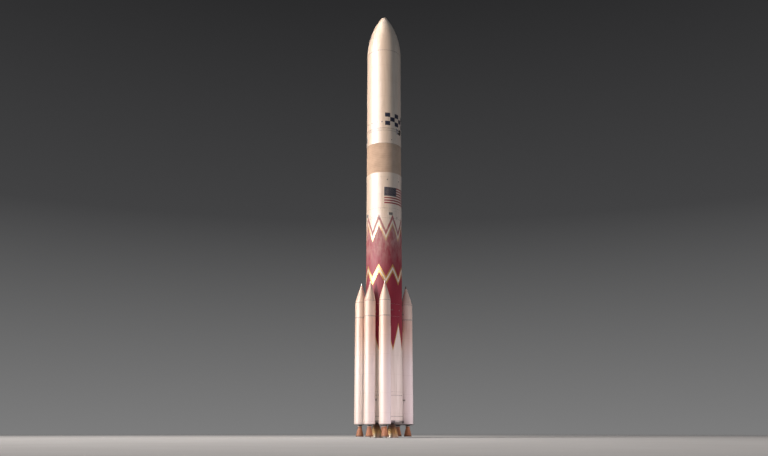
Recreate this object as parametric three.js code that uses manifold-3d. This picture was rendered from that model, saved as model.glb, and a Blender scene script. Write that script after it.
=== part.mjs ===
// Two-stage space rocket with six strap-on solid boosters, as a half-size model held at its launch mount.
// +Z is up. The origin is on the centre line, in the plane of the four hold-down feet.
// The boosters stand in two groups of three, towards -X and +X. The front is -Y: the fairing halves
// open towards -Y and +Y, and the two main engines stand side by side along Y.
import * as THREE from "three";
import { mergeVertices } from "three/addons/utils/BufferGeometryUtils.js";
import Module from "manifold-3d";

const wasm = await Module();
wasm.setup();

// Every size below is the full-size vehicle's, in metres. mm() gives the model's millimetres.
const MODEL_SCALE = 0.5;
const mm = (metres) => metres * 1000 * MODEL_SCALE;
const radians = THREE.MathUtils.degToRad;

const TOUCH = 0.0006; // gap between faces that meet
const MOVING = 0.01; // gap round what moves

const CORE_RADIUS = 2.7;
const CORE_SEGMENTS = 48;

// Heights above the hold-down plane.
const STATION = {
  engineExit: -2.0,
  skirtBottom: 0.1,
  ringTop: 0.34,
  skirtTop: 4.3,
  fuelTankTop: 15.1,
  intertankTop: 16.9,
  oxidizerTankTop: 29.9,
  stageJoint: 31.5,
  interstageTop: 37.2,
  upperTankTop: 42.0,
  adapterTop: 44.3,
  noseTip: 65.3,
};

const FINISH = {
  whitePaint: { color: 0xece6de, roughness: 0.35, metalness: 0 },
  redPaint: { color: 0xb02d3c, roughness: 0.4, metalness: 0 },
  tanFoam: { color: 0xcfae8f, roughness: 0.85, metalness: 0 },
  bareMetal: { color: 0x9b9a98, roughness: 0.4, metalness: 0.9 },
  nozzleSteel: { color: 0x86807a, roughness: 0.45, metalness: 0.9 },
  ablative: { color: 0x4a3a30, roughness: 0.9, metalness: 0 },
  blanket: { color: 0xb9b4aa, roughness: 0.9, metalness: 0 },
  darkGrey: { color: 0x3c3d40, roughness: 0.6, metalness: 0.3 },
};
const materials = {};
for (const [name, finish] of Object.entries(FINISH)) {
  materials[name] = new THREE.MeshStandardMaterial({ name, ...finish });
}

const rocket = new THREE.Group();
rocket.name = "space_rocket";

function addPart(name, geometry, material, parent = rocket) {
  const mesh = new THREE.Mesh(geometry, materials[material]);
  mesh.name = name;
  parent.add(mesh);
  return mesh;
}

// Shape helpers.

function unit(axis) {
  return new THREE.Vector3(Number(axis === "X"), Number(axis === "Y"), Number(axis === "Z"));
}

// The two values in rising order.
const ordered = (a, b) => (a < b ? [a, b] : [b, a]);

// A solid turned about +Z from [radius, height] pairs in metres.
function turned(profile, segments = CORE_SEGMENTS) {
  const points = profile.map(([radius, height]) => new THREE.Vector2(mm(radius), mm(height)));
  return new THREE.LatheGeometry(points, segments).rotateX(Math.PI / 2);
}

// A plain cylinder on the centre line between two heights.
const drum = (radius, bottom, top, segments) =>
  turned([[0, bottom], [radius, bottom], [radius, top], [0, top]], segments);

// A box between two corners given in metres.
function block(low, high) {
  const size = high.map((value, i) => mm(value - low[i]));
  const middle = high.map((value, i) => mm((value + low[i]) / 2));
  return new THREE.BoxGeometry(...size).translate(...middle);
}

// A round rod between two points in metres.
function rod(from, to, radius, sides = 6) {
  const start = new THREE.Vector3(...from.map(mm));
  const along = new THREE.Vector3(...to.map(mm)).sub(start);
  const geometry = new THREE.CylinderGeometry(mm(radius), mm(radius), along.length(), sides);
  geometry.translate(0, along.length() / 2, 0);
  const turn = new THREE.Quaternion().setFromUnitVectors(unit("Y"), along.clone().normalize());
  return geometry.applyQuaternion(turn).translate(start.x, start.y, start.z);
}

// A closed solid through rings of points, with a flat cap at each end. Seen from beyond the last ring,
// every ring runs anticlockwise.
function lofted(rings) {
  const sides = rings[0].length;
  const indices = [];
  for (let ring = 0; ring + 1 < rings.length; ring++) {
    for (let i = 0; i < sides; i++) {
      const [a, b] = [ring * sides + i, ring * sides + ((i + 1) % sides)];
      indices.push(a, b, b + sides, a, b + sides, a + sides);
    }
  }
  const last = (rings.length - 1) * sides;
  for (let i = 1; i + 1 < sides; i++) {
    indices.push(0, i + 1, i, last, last + i, last + i + 1);
  }
  const geometry = new THREE.BufferGeometry();
  geometry.setAttribute("position", new THREE.Float32BufferAttribute(rings.flat(2), 3));
  return geometry.setIndex(indices);
}

function toSolid(geometry) {
  const position = (geometry.index ? geometry.toNonIndexed() : geometry).getAttribute("position");
  const merged = mergeVertices(new THREE.BufferGeometry().setAttribute("position", position), 1e-3);
  return new wasm.Manifold(
    new wasm.Mesh({
      numProp: 3,
      vertProperties: merged.attributes.position.array,
      triVerts: new Uint32Array(merged.index.array),
    }),
  );
}

function toGeometry(solid) {
  const mesh = solid.getMesh();
  const geometry = new THREE.BufferGeometry();
  geometry.setAttribute("position", new THREE.BufferAttribute(mesh.vertProperties.slice(), 3));
  geometry.setIndex(new THREE.BufferAttribute(mesh.triVerts.slice(), 1));
  geometry.computeVertexNormals();
  return geometry;
}

const joined = (geometries) => geometries.map(toSolid).reduce((a, b) => a.add(b));
const cut = (solid, geometries) => geometries.map(toSolid).reduce((a, b) => a.subtract(b), solid);

// Core stage.

const SKIRT_WALL = 0.08;
const HEAT_SHIELD_THICKNESS = 0.04;
const HOLD_DOWN_RISE = 0.04; // of the ring outside the core's surface
const FOOT = { inner: CORE_RADIUS - SKIRT_WALL, outer: 2.86, width: 0.5, spread: 28 };

const ENGINE = {
  offset: 1.35,
  gimbalHeight: 1.95,
  exitRadius: 0.95,
  throatRadius: 0.25,
  throatHeight: 0.15,
  chamberRadius: 0.34,
  chamberBottom: 0.45,
  chamberTop: 0.9,
  headThickness: 0.1,
  wall: 0.05,
  segments: 28,
};
const SHIELD = {
  holeRadius: 0.65, // opening in the base heat shield
  ballRadius: 1.905, // of the ball that turns in that opening, about the gimbal point
  thickness: 0.03,
  collarRadius: 0.335, // where the ball meets the nozzle's throat
  outerAngle: 28,
};
const GIMBAL = {
  pinRadius: 0.07,
  boreRadius: 0.085,
  boreReach: 0.4,
  pinReach: 0.27,
  earInner: 0.16,
  earOuter: 0.24,
  earMargin: 0.02, // of the ears past the pins' block
  half: 0.1,
  sides: 12,
};
const BEAM = { bottom: 2.35, top: 2.85, halfWidth: 0.3 };
const POWERHEAD = { bottom: ENGINE.chamberTop + TOUCH, top: 1.6, radius: 0.46 };

function holdDownRing() {
  const { skirtBottom, ringTop } = STATION;
  const inner = CORE_RADIUS - SKIRT_WALL;
  const outer = CORE_RADIUS + HOLD_DOWN_RISE;
  const ring = turned([
    [inner, skirtBottom], [outer, skirtBottom], [outer, ringTop], [inner, ringTop], [inner, skirtBottom],
  ]);
  const half = FOOT.width / 2;
  const feet = [90, 270].flatMap((side) =>
    [-FOOT.spread, FOOT.spread].map((turn) =>
      block([FOOT.inner, -half, 0], [FOOT.outer, half, ringTop]).rotateZ(radians(side + turn)),
    ),
  );
  return toGeometry(joined([ring, ...feet]));
}

function thrustSection() {
  const bottom = STATION.ringTop + TOUCH;
  const top = STATION.skirtTop;
  const inner = CORE_RADIUS - SKIRT_WALL;
  return turned([
    [inner, bottom], [CORE_RADIUS, bottom], [CORE_RADIUS, top], [inner, top], [inner, bottom],
  ]);
}

// The plate that closes the thrust section below, with a round opening for each engine.
function baseHeatShield() {
  const { skirtBottom } = STATION;
  const plate = drum(FOOT.inner - TOUCH, skirtBottom, skirtBottom + HEAT_SHIELD_THICKNESS);
  const openings = [-ENGINE.offset, ENGINE.offset].map((y) =>
    drum(SHIELD.holeRadius, skirtBottom - 1, skirtBottom + 1, ENGINE.segments).translate(0, mm(y), 0),
  );
  return toGeometry(cut(toSolid(plate), openings));
}

// The cross-beam that takes the thrust, with two ears down to each engine's gimbal.
function thrustBeam() {
  const reach = CORE_RADIUS - SKIRT_WALL - TOUCH;
  const { gimbalHeight, offset } = ENGINE;
  const { half, earMargin, boreRadius, boreReach } = GIMBAL;
  const bar = block([-BEAM.halfWidth, -reach, BEAM.bottom], [BEAM.halfWidth, reach, BEAM.top]);
  const beam = toSolid(bar).intersect(toSolid(drum(reach, BEAM.bottom - 1, BEAM.top + 1)));
  const ears = [-offset, offset].flatMap((y) =>
    [-1, 1].map((side) => {
      const [near, far] = ordered(side * GIMBAL.earInner, side * GIMBAL.earOuter);
      return block([near, y - half, gimbalHeight - half - earMargin], [far, y + half, BEAM.bottom + 0.05]);
    }),
  );
  const bores = [-offset, offset].map((y) =>
    rod([-boreReach, y, gimbalHeight], [boreReach, y, gimbalHeight], boreRadius, GIMBAL.sides),
  );
  return toGeometry(cut(beam.add(joined(ears)), bores));
}

// Sections of the core from the tanks up to the fairing's base. Each is a closed drum, and some end in a
// raised joint ring.
const RING_RISE = 0.015;
const UPPER_TANK_RADIUS = CORE_RADIUS - 0.02;
const CORE_SECTIONS = [
  // name, bottom, top, radius, height of the raised ring at its top, finish
  ["fuel_tank", STATION.skirtTop, STATION.fuelTankTop, CORE_RADIUS, 0, "whitePaint"],
  ["intertank", STATION.fuelTankTop, STATION.intertankTop, CORE_RADIUS, 0, "redPaint"],
  ["oxidizer_tank", STATION.intertankTop, STATION.oxidizerTankTop, CORE_RADIUS, 0, "redPaint"],
  ["forward_skirt", STATION.oxidizerTankTop, STATION.stageJoint, CORE_RADIUS, 0.12, "whitePaint"],
  ["interstage", STATION.stageJoint, STATION.interstageTop, CORE_RADIUS, 0.75, "whitePaint"],
  ["upper_stage_tank", STATION.interstageTop, STATION.upperTankTop, UPPER_TANK_RADIUS, 0, "tanFoam"],
];

function coreSection(bottom, top, radius, ring) {
  const low = bottom + TOUCH;
  if (!ring) {
    return drum(radius, low, top);
  }
  const raised = radius + RING_RISE;
  return turned([
    [0, low], [radius, low], [radius, top - ring], [raised, top - ring], [raised, top], [0, top],
  ]);
}

// Upper stage adapter, payload adapter and fairing.

const FAIRING = {
  wall: 0.06,
  ogiveLength: 7.7, // to the sharp point that the round tip cuts off
  tipRadius: 0.6,
  steps: 6,
};
const DECK = { rim: 0.12, depth: 0.1 };
const PAYLOAD_ADAPTER = {
  baseRadius: 1.7,
  topRadius: 0.7875,
  height: 1.55,
  ringWidth: 0.075,
  ringHeight: 0.12,
  flange: 0.08,
  recess: 0.4,
  segments: 28,
};
const HINGE = {
  reach: 0.09, // of the axis outside the core's surface
  rise: 0.06, // of the axis above the fairing's base
  root: CORE_RADIUS - 0.2, // where eyes and ears start, before the core's surface cuts them
  pinRadius: 0.025,
  boreRadius: 0.036,
  eyeRadius: 0.06,
  places: [-0.35, 0.35],
  eyeHalfWidth: 0.05,
  earWidth: 0.05,
  earHeight: 0.3,
  pinOverhang: 0.12,
  plateBelow: 0.11, // of the bracket's top edge below the axis
  plateBottom: 0.6,
  plateShoulder: 0.35,
  barBottom: 0.55,
  sides: 12,
};

function forwardAdapter() {
  const bottom = STATION.upperTankTop + TOUCH;
  const top = STATION.adapterTop - MOVING;
  const deck = top - DECK.depth;
  const rim = CORE_RADIUS - DECK.rim;
  return turned([
    [0, bottom], [CORE_RADIUS, bottom], [CORE_RADIUS, top], [rim, top], [rim, deck], [0, deck],
  ]);
}

function payloadAdapter() {
  const { baseRadius, topRadius, height, ringWidth, ringHeight } = PAYLOAD_ADAPTER;
  const { flange, recess, segments } = PAYLOAD_ADAPTER;
  const bottom = STATION.adapterTop - MOVING - DECK.depth + TOUCH;
  const top = bottom + height;
  const well = topRadius - ringWidth;
  return turned(
    [
      [0, bottom], [baseRadius, bottom], [baseRadius, bottom + flange],
      [topRadius, top - ringHeight], [topRadius, top],
      [well, top], [well, top - recess], [0, top - recess],
    ],
    segments,
  );
}

// The nose is a tangent ogive on the cylinder that ends in a round tip. This gives its [radius, height]
// pairs, from the base up to the axis.
function noseOutline(radius, base, ogiveLength, tipRadius, steps) {
  const arc = (radius ** 2 + ogiveLength ** 2) / (2 * radius);
  const tipCentre = Math.sqrt((arc - tipRadius) ** 2 - (arc - radius) ** 2);
  const meetRadius = (tipRadius * (arc - radius)) / (arc - tipRadius);
  const meetHeight = tipCentre + Math.sqrt(tipRadius ** 2 - meetRadius ** 2);
  const outline = [];
  for (let i = 0; i <= steps; i++) {
    const height = (meetHeight * i) / steps;
    outline.push([Math.sqrt(arc ** 2 - height ** 2) + radius - arc, base + height]);
  }
  const tipAngle = Math.asin(meetRadius / tipRadius);
  for (const angle of [tipAngle / 2, 0]) {
    outline.push([tipRadius * Math.sin(angle), base + tipCentre + tipRadius * Math.cos(angle)]);
  }
  return outline;
}

function noseHeight(radius, ogiveLength, tipRadius) {
  const outline = noseOutline(radius, 0, ogiveLength, tipRadius, 1);
  return outline[outline.length - 1][1];
}

const ogiveBase = STATION.noseTip - noseHeight(CORE_RADIUS, FAIRING.ogiveLength, FAIRING.tipRadius);

function fairingShell() {
  const { wall, ogiveLength, tipRadius, steps } = FAIRING;
  const base = STATION.adapterTop;
  const hollowRadius = CORE_RADIUS - wall;
  const outer = noseOutline(CORE_RADIUS, ogiveBase, ogiveLength, tipRadius, steps);
  const inner = noseOutline(hollowRadius, ogiveBase - wall, ogiveLength, tipRadius - wall, steps);
  const below = base - 1;
  const filled = turned([[0, base], [CORE_RADIUS, base], ...outer]);
  const hollow = turned([[0, below], [hollowRadius, below], ...inner]);
  return toSolid(filled).subtract(toSolid(hollow));
}

// One half of the fairing with its two pairs of hinge ears. The side is -1 for the front and 1 for the
// rear.
function fairingHalf(side) {
  const far = 2 * CORE_RADIUS;
  const [near, out] = ordered((side * MOVING) / 2, side * far);
  const halfSpace = block([-far, near, 0], [far, out, STATION.noseTip + 1]);
  const axisY = side * (CORE_RADIUS + HINGE.reach);
  const axisZ = STATION.adapterTop + HINGE.rise;
  const [earNear, earFar] = ordered(side * HINGE.root, axisY + side * HINGE.eyeRadius);
  const ears = HINGE.places.flatMap((x) =>
    [-1, 1].map((end) => {
      const start = x + end * (HINGE.eyeHalfWidth + MOVING);
      const [low, high] = ordered(start, start + end * HINGE.earWidth);
      return block([low, earNear, axisZ - HINGE.eyeRadius], [high, earFar, axisZ + HINGE.earHeight]);
    }),
  );
  const lugs = cut(joined(ears), [
    drum(CORE_RADIUS - FAIRING.wall / 2, 0, STATION.noseTip),
    rod([-1, axisY, axisZ], [1, axisY, axisZ], HINGE.boreRadius, HINGE.sides),
    block([-1, -far, axisZ - 1], [1, far, STATION.adapterTop]),
  ]);
  return toGeometry(fairingShell().intersect(toSolid(halfSpace)).add(lugs));
}

// The bracket on the forward adapter that carries one fairing half: two eyes on a base bar, with the pin
// through them.
function fairingHinge(side) {
  const { root, eyeRadius, eyeHalfWidth, places, plateBelow, plateBottom, plateShoulder } = HINGE;
  const axisY = CORE_RADIUS + HINGE.reach;
  const axisZ = STATION.adapterTop + HINGE.rise;
  const outline = new THREE.Shape();
  outline.moveTo(mm(axisY + eyeRadius), mm(axisZ));
  outline.absarc(mm(axisY), mm(axisZ), mm(eyeRadius), 0, Math.PI, false);
  outline.lineTo(mm(axisY - eyeRadius), mm(axisZ - plateBelow));
  outline.lineTo(mm(root), mm(axisZ - plateBelow));
  outline.lineTo(mm(root), mm(axisZ - plateBottom));
  outline.lineTo(mm(axisY - eyeRadius), mm(axisZ - plateBottom));
  outline.lineTo(mm(axisY + eyeRadius), mm(axisZ - plateShoulder));
  // The outline lies in a plane of Y and Z, and is pushed out along X.
  const toYZ = new THREE.Matrix4().makeBasis(unit("Y"), unit("Z"), unit("X"));
  const depth = mm(2 * eyeHalfWidth);
  const eyes = places.map((x) =>
    new THREE.ExtrudeGeometry(outline, { depth, bevelEnabled: false, curveSegments: 6 })
      .applyMatrix4(toYZ)
      .translate(mm(x - eyeHalfWidth), 0, 0),
  );
  const [first, last] = places;
  const bar = block([first, root, axisZ - HINGE.barBottom], [last, axisY, axisZ - plateShoulder]);
  const pinEnds = [first - HINGE.pinOverhang, last + HINGE.pinOverhang].map((x) => [x, axisY, axisZ]);
  const pin = rod(...pinEnds, HINGE.pinRadius, HINGE.sides);
  const core = drum(CORE_RADIUS + TOUCH, 0, STATION.adapterTop + HINGE.rise / 3);
  const geometry = toGeometry(cut(joined([...eyes, bar, pin]), [core]));
  return side < 0 ? geometry.rotateZ(Math.PI) : geometry;
}

// Main engines.

// Radius of the nozzle's inside at a height, between its throat and its exit.
function bellRadius(height) {
  const { throatRadius, exitRadius, throatHeight, wall } = ENGINE;
  const share = (throatHeight - height) / (throatHeight - STATION.engineExit);
  const exit = exitRadius - wall;
  return throatRadius + (exit - throatRadius) * (1.5 * share - 0.5 * share ** 2);
}

// The bell with the combustion chamber above it, which its heavy head closes.
function engineNozzle() {
  const { wall, throatHeight, chamberRadius, chamberBottom, chamberTop, headThickness } = ENGINE;
  const exit = STATION.engineExit;
  const head = chamberTop - headThickness;
  const heights = [0, 0.15, 0.35, 0.65, 1].map((t) => throatHeight + (exit - throatHeight) * t);
  const inside = heights.map((z) => [bellRadius(z), z]);
  const outside = heights.map((z) => [bellRadius(z) + wall, z]).reverse();
  return turned(
    [
      [0, head], [chamberRadius - wall, head], [chamberRadius - wall, chamberBottom],
      ...inside,
      ...outside,
      [chamberRadius, chamberBottom], [chamberRadius, chamberTop], [0, chamberTop],
    ],
    ENGINE.segments,
  );
}

// Powerhead as one plain block, with two ears up to the gimbal's Y pin.
function enginePowerhead() {
  const { gimbalHeight } = ENGINE;
  const { half, earMargin, boreReach, boreRadius, sides } = GIMBAL;
  const body = drum(POWERHEAD.radius, POWERHEAD.bottom, POWERHEAD.top, sides);
  const earTop = gimbalHeight + half + earMargin;
  const ears = [-1, 1].map((side) => {
    const [near, far] = ordered(side * GIMBAL.earInner, side * GIMBAL.earOuter);
    return block([-half, near, POWERHEAD.top - 0.05], [half, far, earTop]);
  });
  const bore = rod([0, -boreReach, gimbalHeight], [0, boreReach, gimbalHeight], boreRadius, sides);
  return toGeometry(cut(joined([body, ...ears]), [bore]));
}

function gimbalCross() {
  const z = ENGINE.gimbalHeight;
  const { half, pinReach, pinRadius } = GIMBAL;
  return toGeometry(
    joined([
      block([-half, -half, z - half], [half, half, z + half]),
      rod([-pinReach, 0, z], [pinReach, 0, z], pinRadius, 10),
      rod([0, -pinReach, z], [0, pinReach, z], pinRadius, 10),
    ]),
  );
}

// Part of a ball about the gimbal point, which closes the heat shield's opening at every angle of the
// engine.
function engineShield() {
  const { ballRadius, thickness, collarRadius, outerAngle } = SHIELD;
  const innerAngle = Math.asin(collarRadius / ballRadius);
  const at = (radius, angle) => [radius * Math.sin(angle), ENGINE.gimbalHeight - radius * Math.cos(angle)];
  const angles = [0, 0.5, 1].map((share) => innerAngle + (radians(outerAngle) - innerAngle) * share);
  const lower = angles.map((angle) => at(ballRadius, angle));
  const upper = angles.map((angle) => at(ballRadius - thickness, angle)).reverse();
  return turned([...lower, ...upper, lower[0]], ENGINE.segments);
}

// Boosters.

const BOOSTER = {
  radius: 0.815,
  gap: 0.14,
  spacing: 36, // degrees between neighbours in a group
  exit: -1.85,
  length: 21.98,
  nozzleLength: 1.6,
  coneLength: 2.9,
  noseSection: 5.3,
  tipRadius: 0.09,
  tipLean: 0.14, // of the tip towards the core
  exitRadius: 0.56,
  throatRadius: 0.24,
  throatDepth: 0.25,
  neckRadius: 0.42,
  nozzleWall: 0.04,
  baseChamfer: [0.1, 0.12],
  segments: 24,
  nozzleSegments: 18,
};
const boosterReach = CORE_RADIUS + BOOSTER.gap + BOOSTER.radius;
const boosterTip = BOOSTER.exit + BOOSTER.length;
const boosterBase = BOOSTER.exit + BOOSTER.nozzleLength;
const caseTop = boosterTip - BOOSTER.noseSection;
const coneBase = boosterTip - BOOSTER.coneLength;

// Nose cone and forward skirt of a booster, about its own axis, with the core towards -X. The cone bulges
// a little and its tip leans towards the core.
function boosterNose() {
  const { radius, coneLength, tipRadius, tipLean, segments } = BOOSTER;
  const bottom = caseTop + TOUCH;
  const cone = [0, 0.3, 0.65].map((t) => [radius * (1 - t ** 1.15), coneBase + coneLength * t]);
  const tip = [[tipRadius, boosterTip - 0.06], [0, boosterTip]];
  const geometry = turned([[0, bottom], [radius, bottom], ...cone, ...tip], segments);
  const position = geometry.getAttribute("position");
  for (let i = 0; i < position.count; i++) {
    const above = Math.max(0, position.getZ(i) - mm(coneBase)) / mm(coneLength);
    position.setX(i, position.getX(i) - mm(tipLean) * above);
  }
  return geometry;
}

function boosterCase() {
  const { radius, baseChamfer, segments } = BOOSTER;
  const [inward, upward] = baseChamfer;
  const base = [[0, boosterBase], [radius - inward, boosterBase], [radius, boosterBase + upward]];
  return turned([...base, [radius, caseTop], [0, caseTop]], segments);
}

function boosterNozzle() {
  const { exit, exitRadius, throatRadius, throatDepth, neckRadius, nozzleWall, nozzleSegments } = BOOSTER;
  const top = boosterBase - TOUCH;
  const throat = top - throatDepth;
  const flare = [0, 0.45, 1].map((t) => [
    throatRadius + (exitRadius - nozzleWall - throatRadius) * (1.25 * t - 0.25 * t ** 2),
    throat + (exit - throat) * t,
  ]);
  const outside = flare.map(([r, z]) => [r + nozzleWall, z]);
  const neck = [[0, top], [neckRadius, top], [neckRadius, throat + nozzleWall]];
  const profile = [...neck, ...outside, ...flare.reverse(), [0, throat]];
  return turned(profile.reverse(), nozzleSegments);
}

// A thrust fitting between core and booster with a brace at each side; the core lies towards -X.
const ATTACHMENTS = [
  // name, middle height, half height, half width of the fitting, radius and spread of the braces
  ["forward_attach", 15.7, 0.22, 0.16, 0.05, 0.3],
  ["aft_attach", 3.2, 0.4, 0.24, 0.07, 0.42],
];

// What stands on the core starts at this distance from its axis, before the core's facets cut it.
const ROOT = CORE_RADIUS - 0.3;
const PAD = { margin: 0.12, halfHeight: 0.14, rise: 0.07 };
const BRACE_SPLAY = 0.26; // of each brace from core to booster

function boosterAttachment(height, halfHeight, halfWidth, braceRadius, braceSpread) {
  const reach = boosterReach - BOOSTER.radius + 0.36;
  const padHalf = braceSpread + PAD.margin;
  const fitting = block([ROOT, -halfWidth, height - halfHeight], [reach, halfWidth, height + halfHeight]);
  const pad = block(
    [ROOT, -padHalf, height - PAD.halfHeight],
    [CORE_RADIUS + PAD.rise, padHalf, height + PAD.halfHeight],
  );
  const braces = [-1, 1].map((side) => {
    const inner = [CORE_RADIUS - 0.15, side * braceSpread, height];
    const outer = [CORE_RADIUS + 0.75, side * (braceSpread + BRACE_SPLAY), height];
    return rod(inner, outer, braceRadius);
  });
  const booster = drum(BOOSTER.radius + TOUCH, height - 1, height + 1, BOOSTER.segments).translate(
    mm(boosterReach), 0, 0,
  );
  const core = drum(CORE_RADIUS + TOUCH, height - 1, height + 1);
  return { solid: joined([fitting, pad, ...braces]), booster, core };
}

// Each booster's parts are made about the core's axis at azimuth 0 and then turned to their own azimuth,
// so that every piece is cut by the core's facets where it really meets them.
function addBooster(number, azimuth) {
  const turn = radians(azimuth);
  const placed = (geometry) => geometry.translate(mm(boosterReach), 0, 0).rotateZ(turn);
  const pieces = [
    ["nose", boosterNose, "whitePaint"],
    ["case", boosterCase, "whitePaint"],
    ["nozzle", boosterNozzle, "ablative"],
  ];
  for (const [piece, make, finish] of pieces) {
    addPart(`booster_${number}_${piece}`, placed(make()), finish);
  }
  for (const [name, ...sizes] of ATTACHMENTS) {
    const { solid, booster, core } = boosterAttachment(...sizes);
    const placedSolid = toSolid(toGeometry(cut(solid, [booster])).rotateZ(turn));
    addPart(`booster_${number}_${name}`, toGeometry(cut(placedSolid, [core])), "bareMetal");
  }
}

// Outside lines.

const FEED_LINE = {
  azimuth: 105,
  radius: 0.24,
  clearance: 0.1,
  bottom: 2.6,
  top: 16.2,
  bend: 0.5, // radius of the two bends along the pipe's middle
  sides: 12,
};
const TUNNEL = { azimuth: 75, halfWidth: 0.2, depth: 0.17, bottom: 2.2, top: 31.2, slope: 0.35 };

// The oxidizer feed line leaves the intertank, runs down outside the fuel tank and enters the thrust
// section.
function feedLine() {
  const { azimuth, radius, clearance, bottom, top, bend, sides } = FEED_LINE;
  const out = CORE_RADIUS + clearance + radius;
  // Stations down the pipe: distance from the core's axis, height, and how far its outer side faces up.
  const stations = [[ROOT, top, 90]];
  for (const [middle, first, last] of [[top - bend, 90, 0], [bottom + bend, 0, -90]]) {
    for (let turn = first; turn >= last; turn -= 22.5) {
      const [up, outward] = [Math.sin(radians(turn)), Math.cos(radians(turn))];
      stations.push([out - bend + bend * outward, middle + bend * up, turn]);
    }
  }
  stations.push([ROOT, bottom, -90]);
  const rings = stations.map(([distance, height, turn]) =>
    Array.from({ length: sides }, (_, i) => {
      const angle = (2 * Math.PI * i) / sides;
      const [side, lift] = [-radius * Math.sin(angle), radius * Math.cos(angle)];
      const [outward, upward] = [lift * Math.cos(radians(turn)), lift * Math.sin(radians(turn))];
      return [mm(distance + outward), mm(side), mm(height + upward)];
    }),
  );
  const pipe = toSolid(lofted(rings).rotateZ(radians(azimuth)));
  return toGeometry(cut(pipe, [drum(CORE_RADIUS + TOUCH, 0, top + 1)]));
}

// The cable tunnel up the rear of the first stage: a low box with sloping ends.
function cableTunnel() {
  const { halfWidth, depth, bottom, top, slope } = TUNNEL;
  const outline = new THREE.Shape();
  outline.moveTo(mm(ROOT), mm(bottom));
  outline.lineTo(mm(CORE_RADIUS), mm(bottom));
  outline.lineTo(mm(CORE_RADIUS + depth), mm(bottom + slope));
  outline.lineTo(mm(CORE_RADIUS + depth), mm(top - slope));
  outline.lineTo(mm(CORE_RADIUS), mm(top));
  outline.lineTo(mm(ROOT), mm(top));
  const box = new THREE.ExtrudeGeometry(outline, { depth: mm(2 * halfWidth), bevelEnabled: false })
    .rotateX(Math.PI / 2)
    .translate(0, mm(halfWidth), 0)
    .rotateZ(radians(TUNNEL.azimuth));
  return toGeometry(cut(toSolid(box), [drum(CORE_RADIUS + TOUCH, 0, top + 1)]));
}

// Assembly.

addPart("hold_down_ring", holdDownRing(), "bareMetal");
addPart("thrust_section", thrustSection(), "whitePaint");
addPart("base_heat_shield", baseHeatShield(), "blanket");
addPart("thrust_beam", thrustBeam(), "darkGrey");
for (const [name, bottom, top, radius, ring, finish] of CORE_SECTIONS) {
  addPart(name, coreSection(bottom, top, radius, ring), finish);
}
addPart("forward_adapter", forwardAdapter(), "whitePaint");
addPart("payload_adapter", payloadAdapter(), "bareMetal");
for (const [end, side] of [["front", -1], ["rear", 1]]) {
  addPart(`fairing_half_${end}`, fairingHalf(side), "whitePaint");
  addPart(`fairing_hinge_${end}`, fairingHinge(side), "bareMetal");
  const engine = new THREE.Group();
  engine.position.y = mm(side * ENGINE.offset);
  rocket.add(engine);
  addPart(`${end}_engine_gimbal`, gimbalCross(), "bareMetal", engine);
  addPart(`${end}_engine_powerhead`, enginePowerhead(), "darkGrey", engine);
  addPart(`${end}_engine_nozzle`, engineNozzle(), "nozzleSteel", engine);
  addPart(`${end}_engine_shield`, engineShield(), "blanket", engine);
}
addPart("feed_line", feedLine(), "whitePaint");
addPart("cable_tunnel", cableTunnel(), "whitePaint");

let boosterNumber = 0;
for (const groupAzimuth of [180, 0]) {
  for (const slot of [-1, 0, 1]) {
    boosterNumber += 1;
    addBooster(boosterNumber, groupAzimuth + slot * BOOSTER.spacing);
  }
}

export default rocket;
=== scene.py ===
import itertools
import math

import bmesh
import bpy
from mathutils import Euler, Matrix, Vector, noise


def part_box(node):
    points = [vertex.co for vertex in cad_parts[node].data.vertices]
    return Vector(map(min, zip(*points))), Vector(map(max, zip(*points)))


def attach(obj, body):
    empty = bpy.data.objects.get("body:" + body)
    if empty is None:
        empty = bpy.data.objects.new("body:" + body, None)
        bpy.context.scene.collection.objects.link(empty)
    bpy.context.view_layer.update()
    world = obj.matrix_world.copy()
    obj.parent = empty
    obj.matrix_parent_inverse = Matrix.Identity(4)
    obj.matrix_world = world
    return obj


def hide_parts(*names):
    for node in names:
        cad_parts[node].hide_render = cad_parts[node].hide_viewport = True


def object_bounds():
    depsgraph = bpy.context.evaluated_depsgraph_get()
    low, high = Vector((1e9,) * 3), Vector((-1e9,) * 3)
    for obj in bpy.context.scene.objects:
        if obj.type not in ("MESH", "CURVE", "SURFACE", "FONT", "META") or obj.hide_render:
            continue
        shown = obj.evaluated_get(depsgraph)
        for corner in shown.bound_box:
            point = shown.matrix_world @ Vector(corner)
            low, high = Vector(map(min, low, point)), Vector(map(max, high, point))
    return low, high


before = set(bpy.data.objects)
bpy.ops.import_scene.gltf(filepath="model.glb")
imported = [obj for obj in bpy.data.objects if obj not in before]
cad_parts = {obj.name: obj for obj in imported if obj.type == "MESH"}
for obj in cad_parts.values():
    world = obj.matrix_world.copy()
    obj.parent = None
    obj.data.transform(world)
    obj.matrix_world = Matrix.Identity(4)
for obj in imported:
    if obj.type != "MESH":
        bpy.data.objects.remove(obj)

CAD_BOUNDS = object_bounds()
TURN = 2 * math.pi


def span(node):
    """The lowest and highest Z of a node."""
    low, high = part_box(node)
    return low.z, high.z


def evenly(start, end, parts):
    """Values in equal steps from start to end, with both ends."""
    return [start + (end - start) * i / parts for i in range(parts + 1)]


def middles(start, end, parts):
    """The middles of equal parts between start and end."""
    return [start + (end - start) * (i + 0.5) / parts for i in range(parts)]


# Radii of the core and of its raised rings, read from the frame.
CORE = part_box("fuel_tank")[1].x
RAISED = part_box("interstage")[1].x
# Columns round the core, and the width of an eased edge.
COLUMNS = 144
EASE = 0.006

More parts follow.
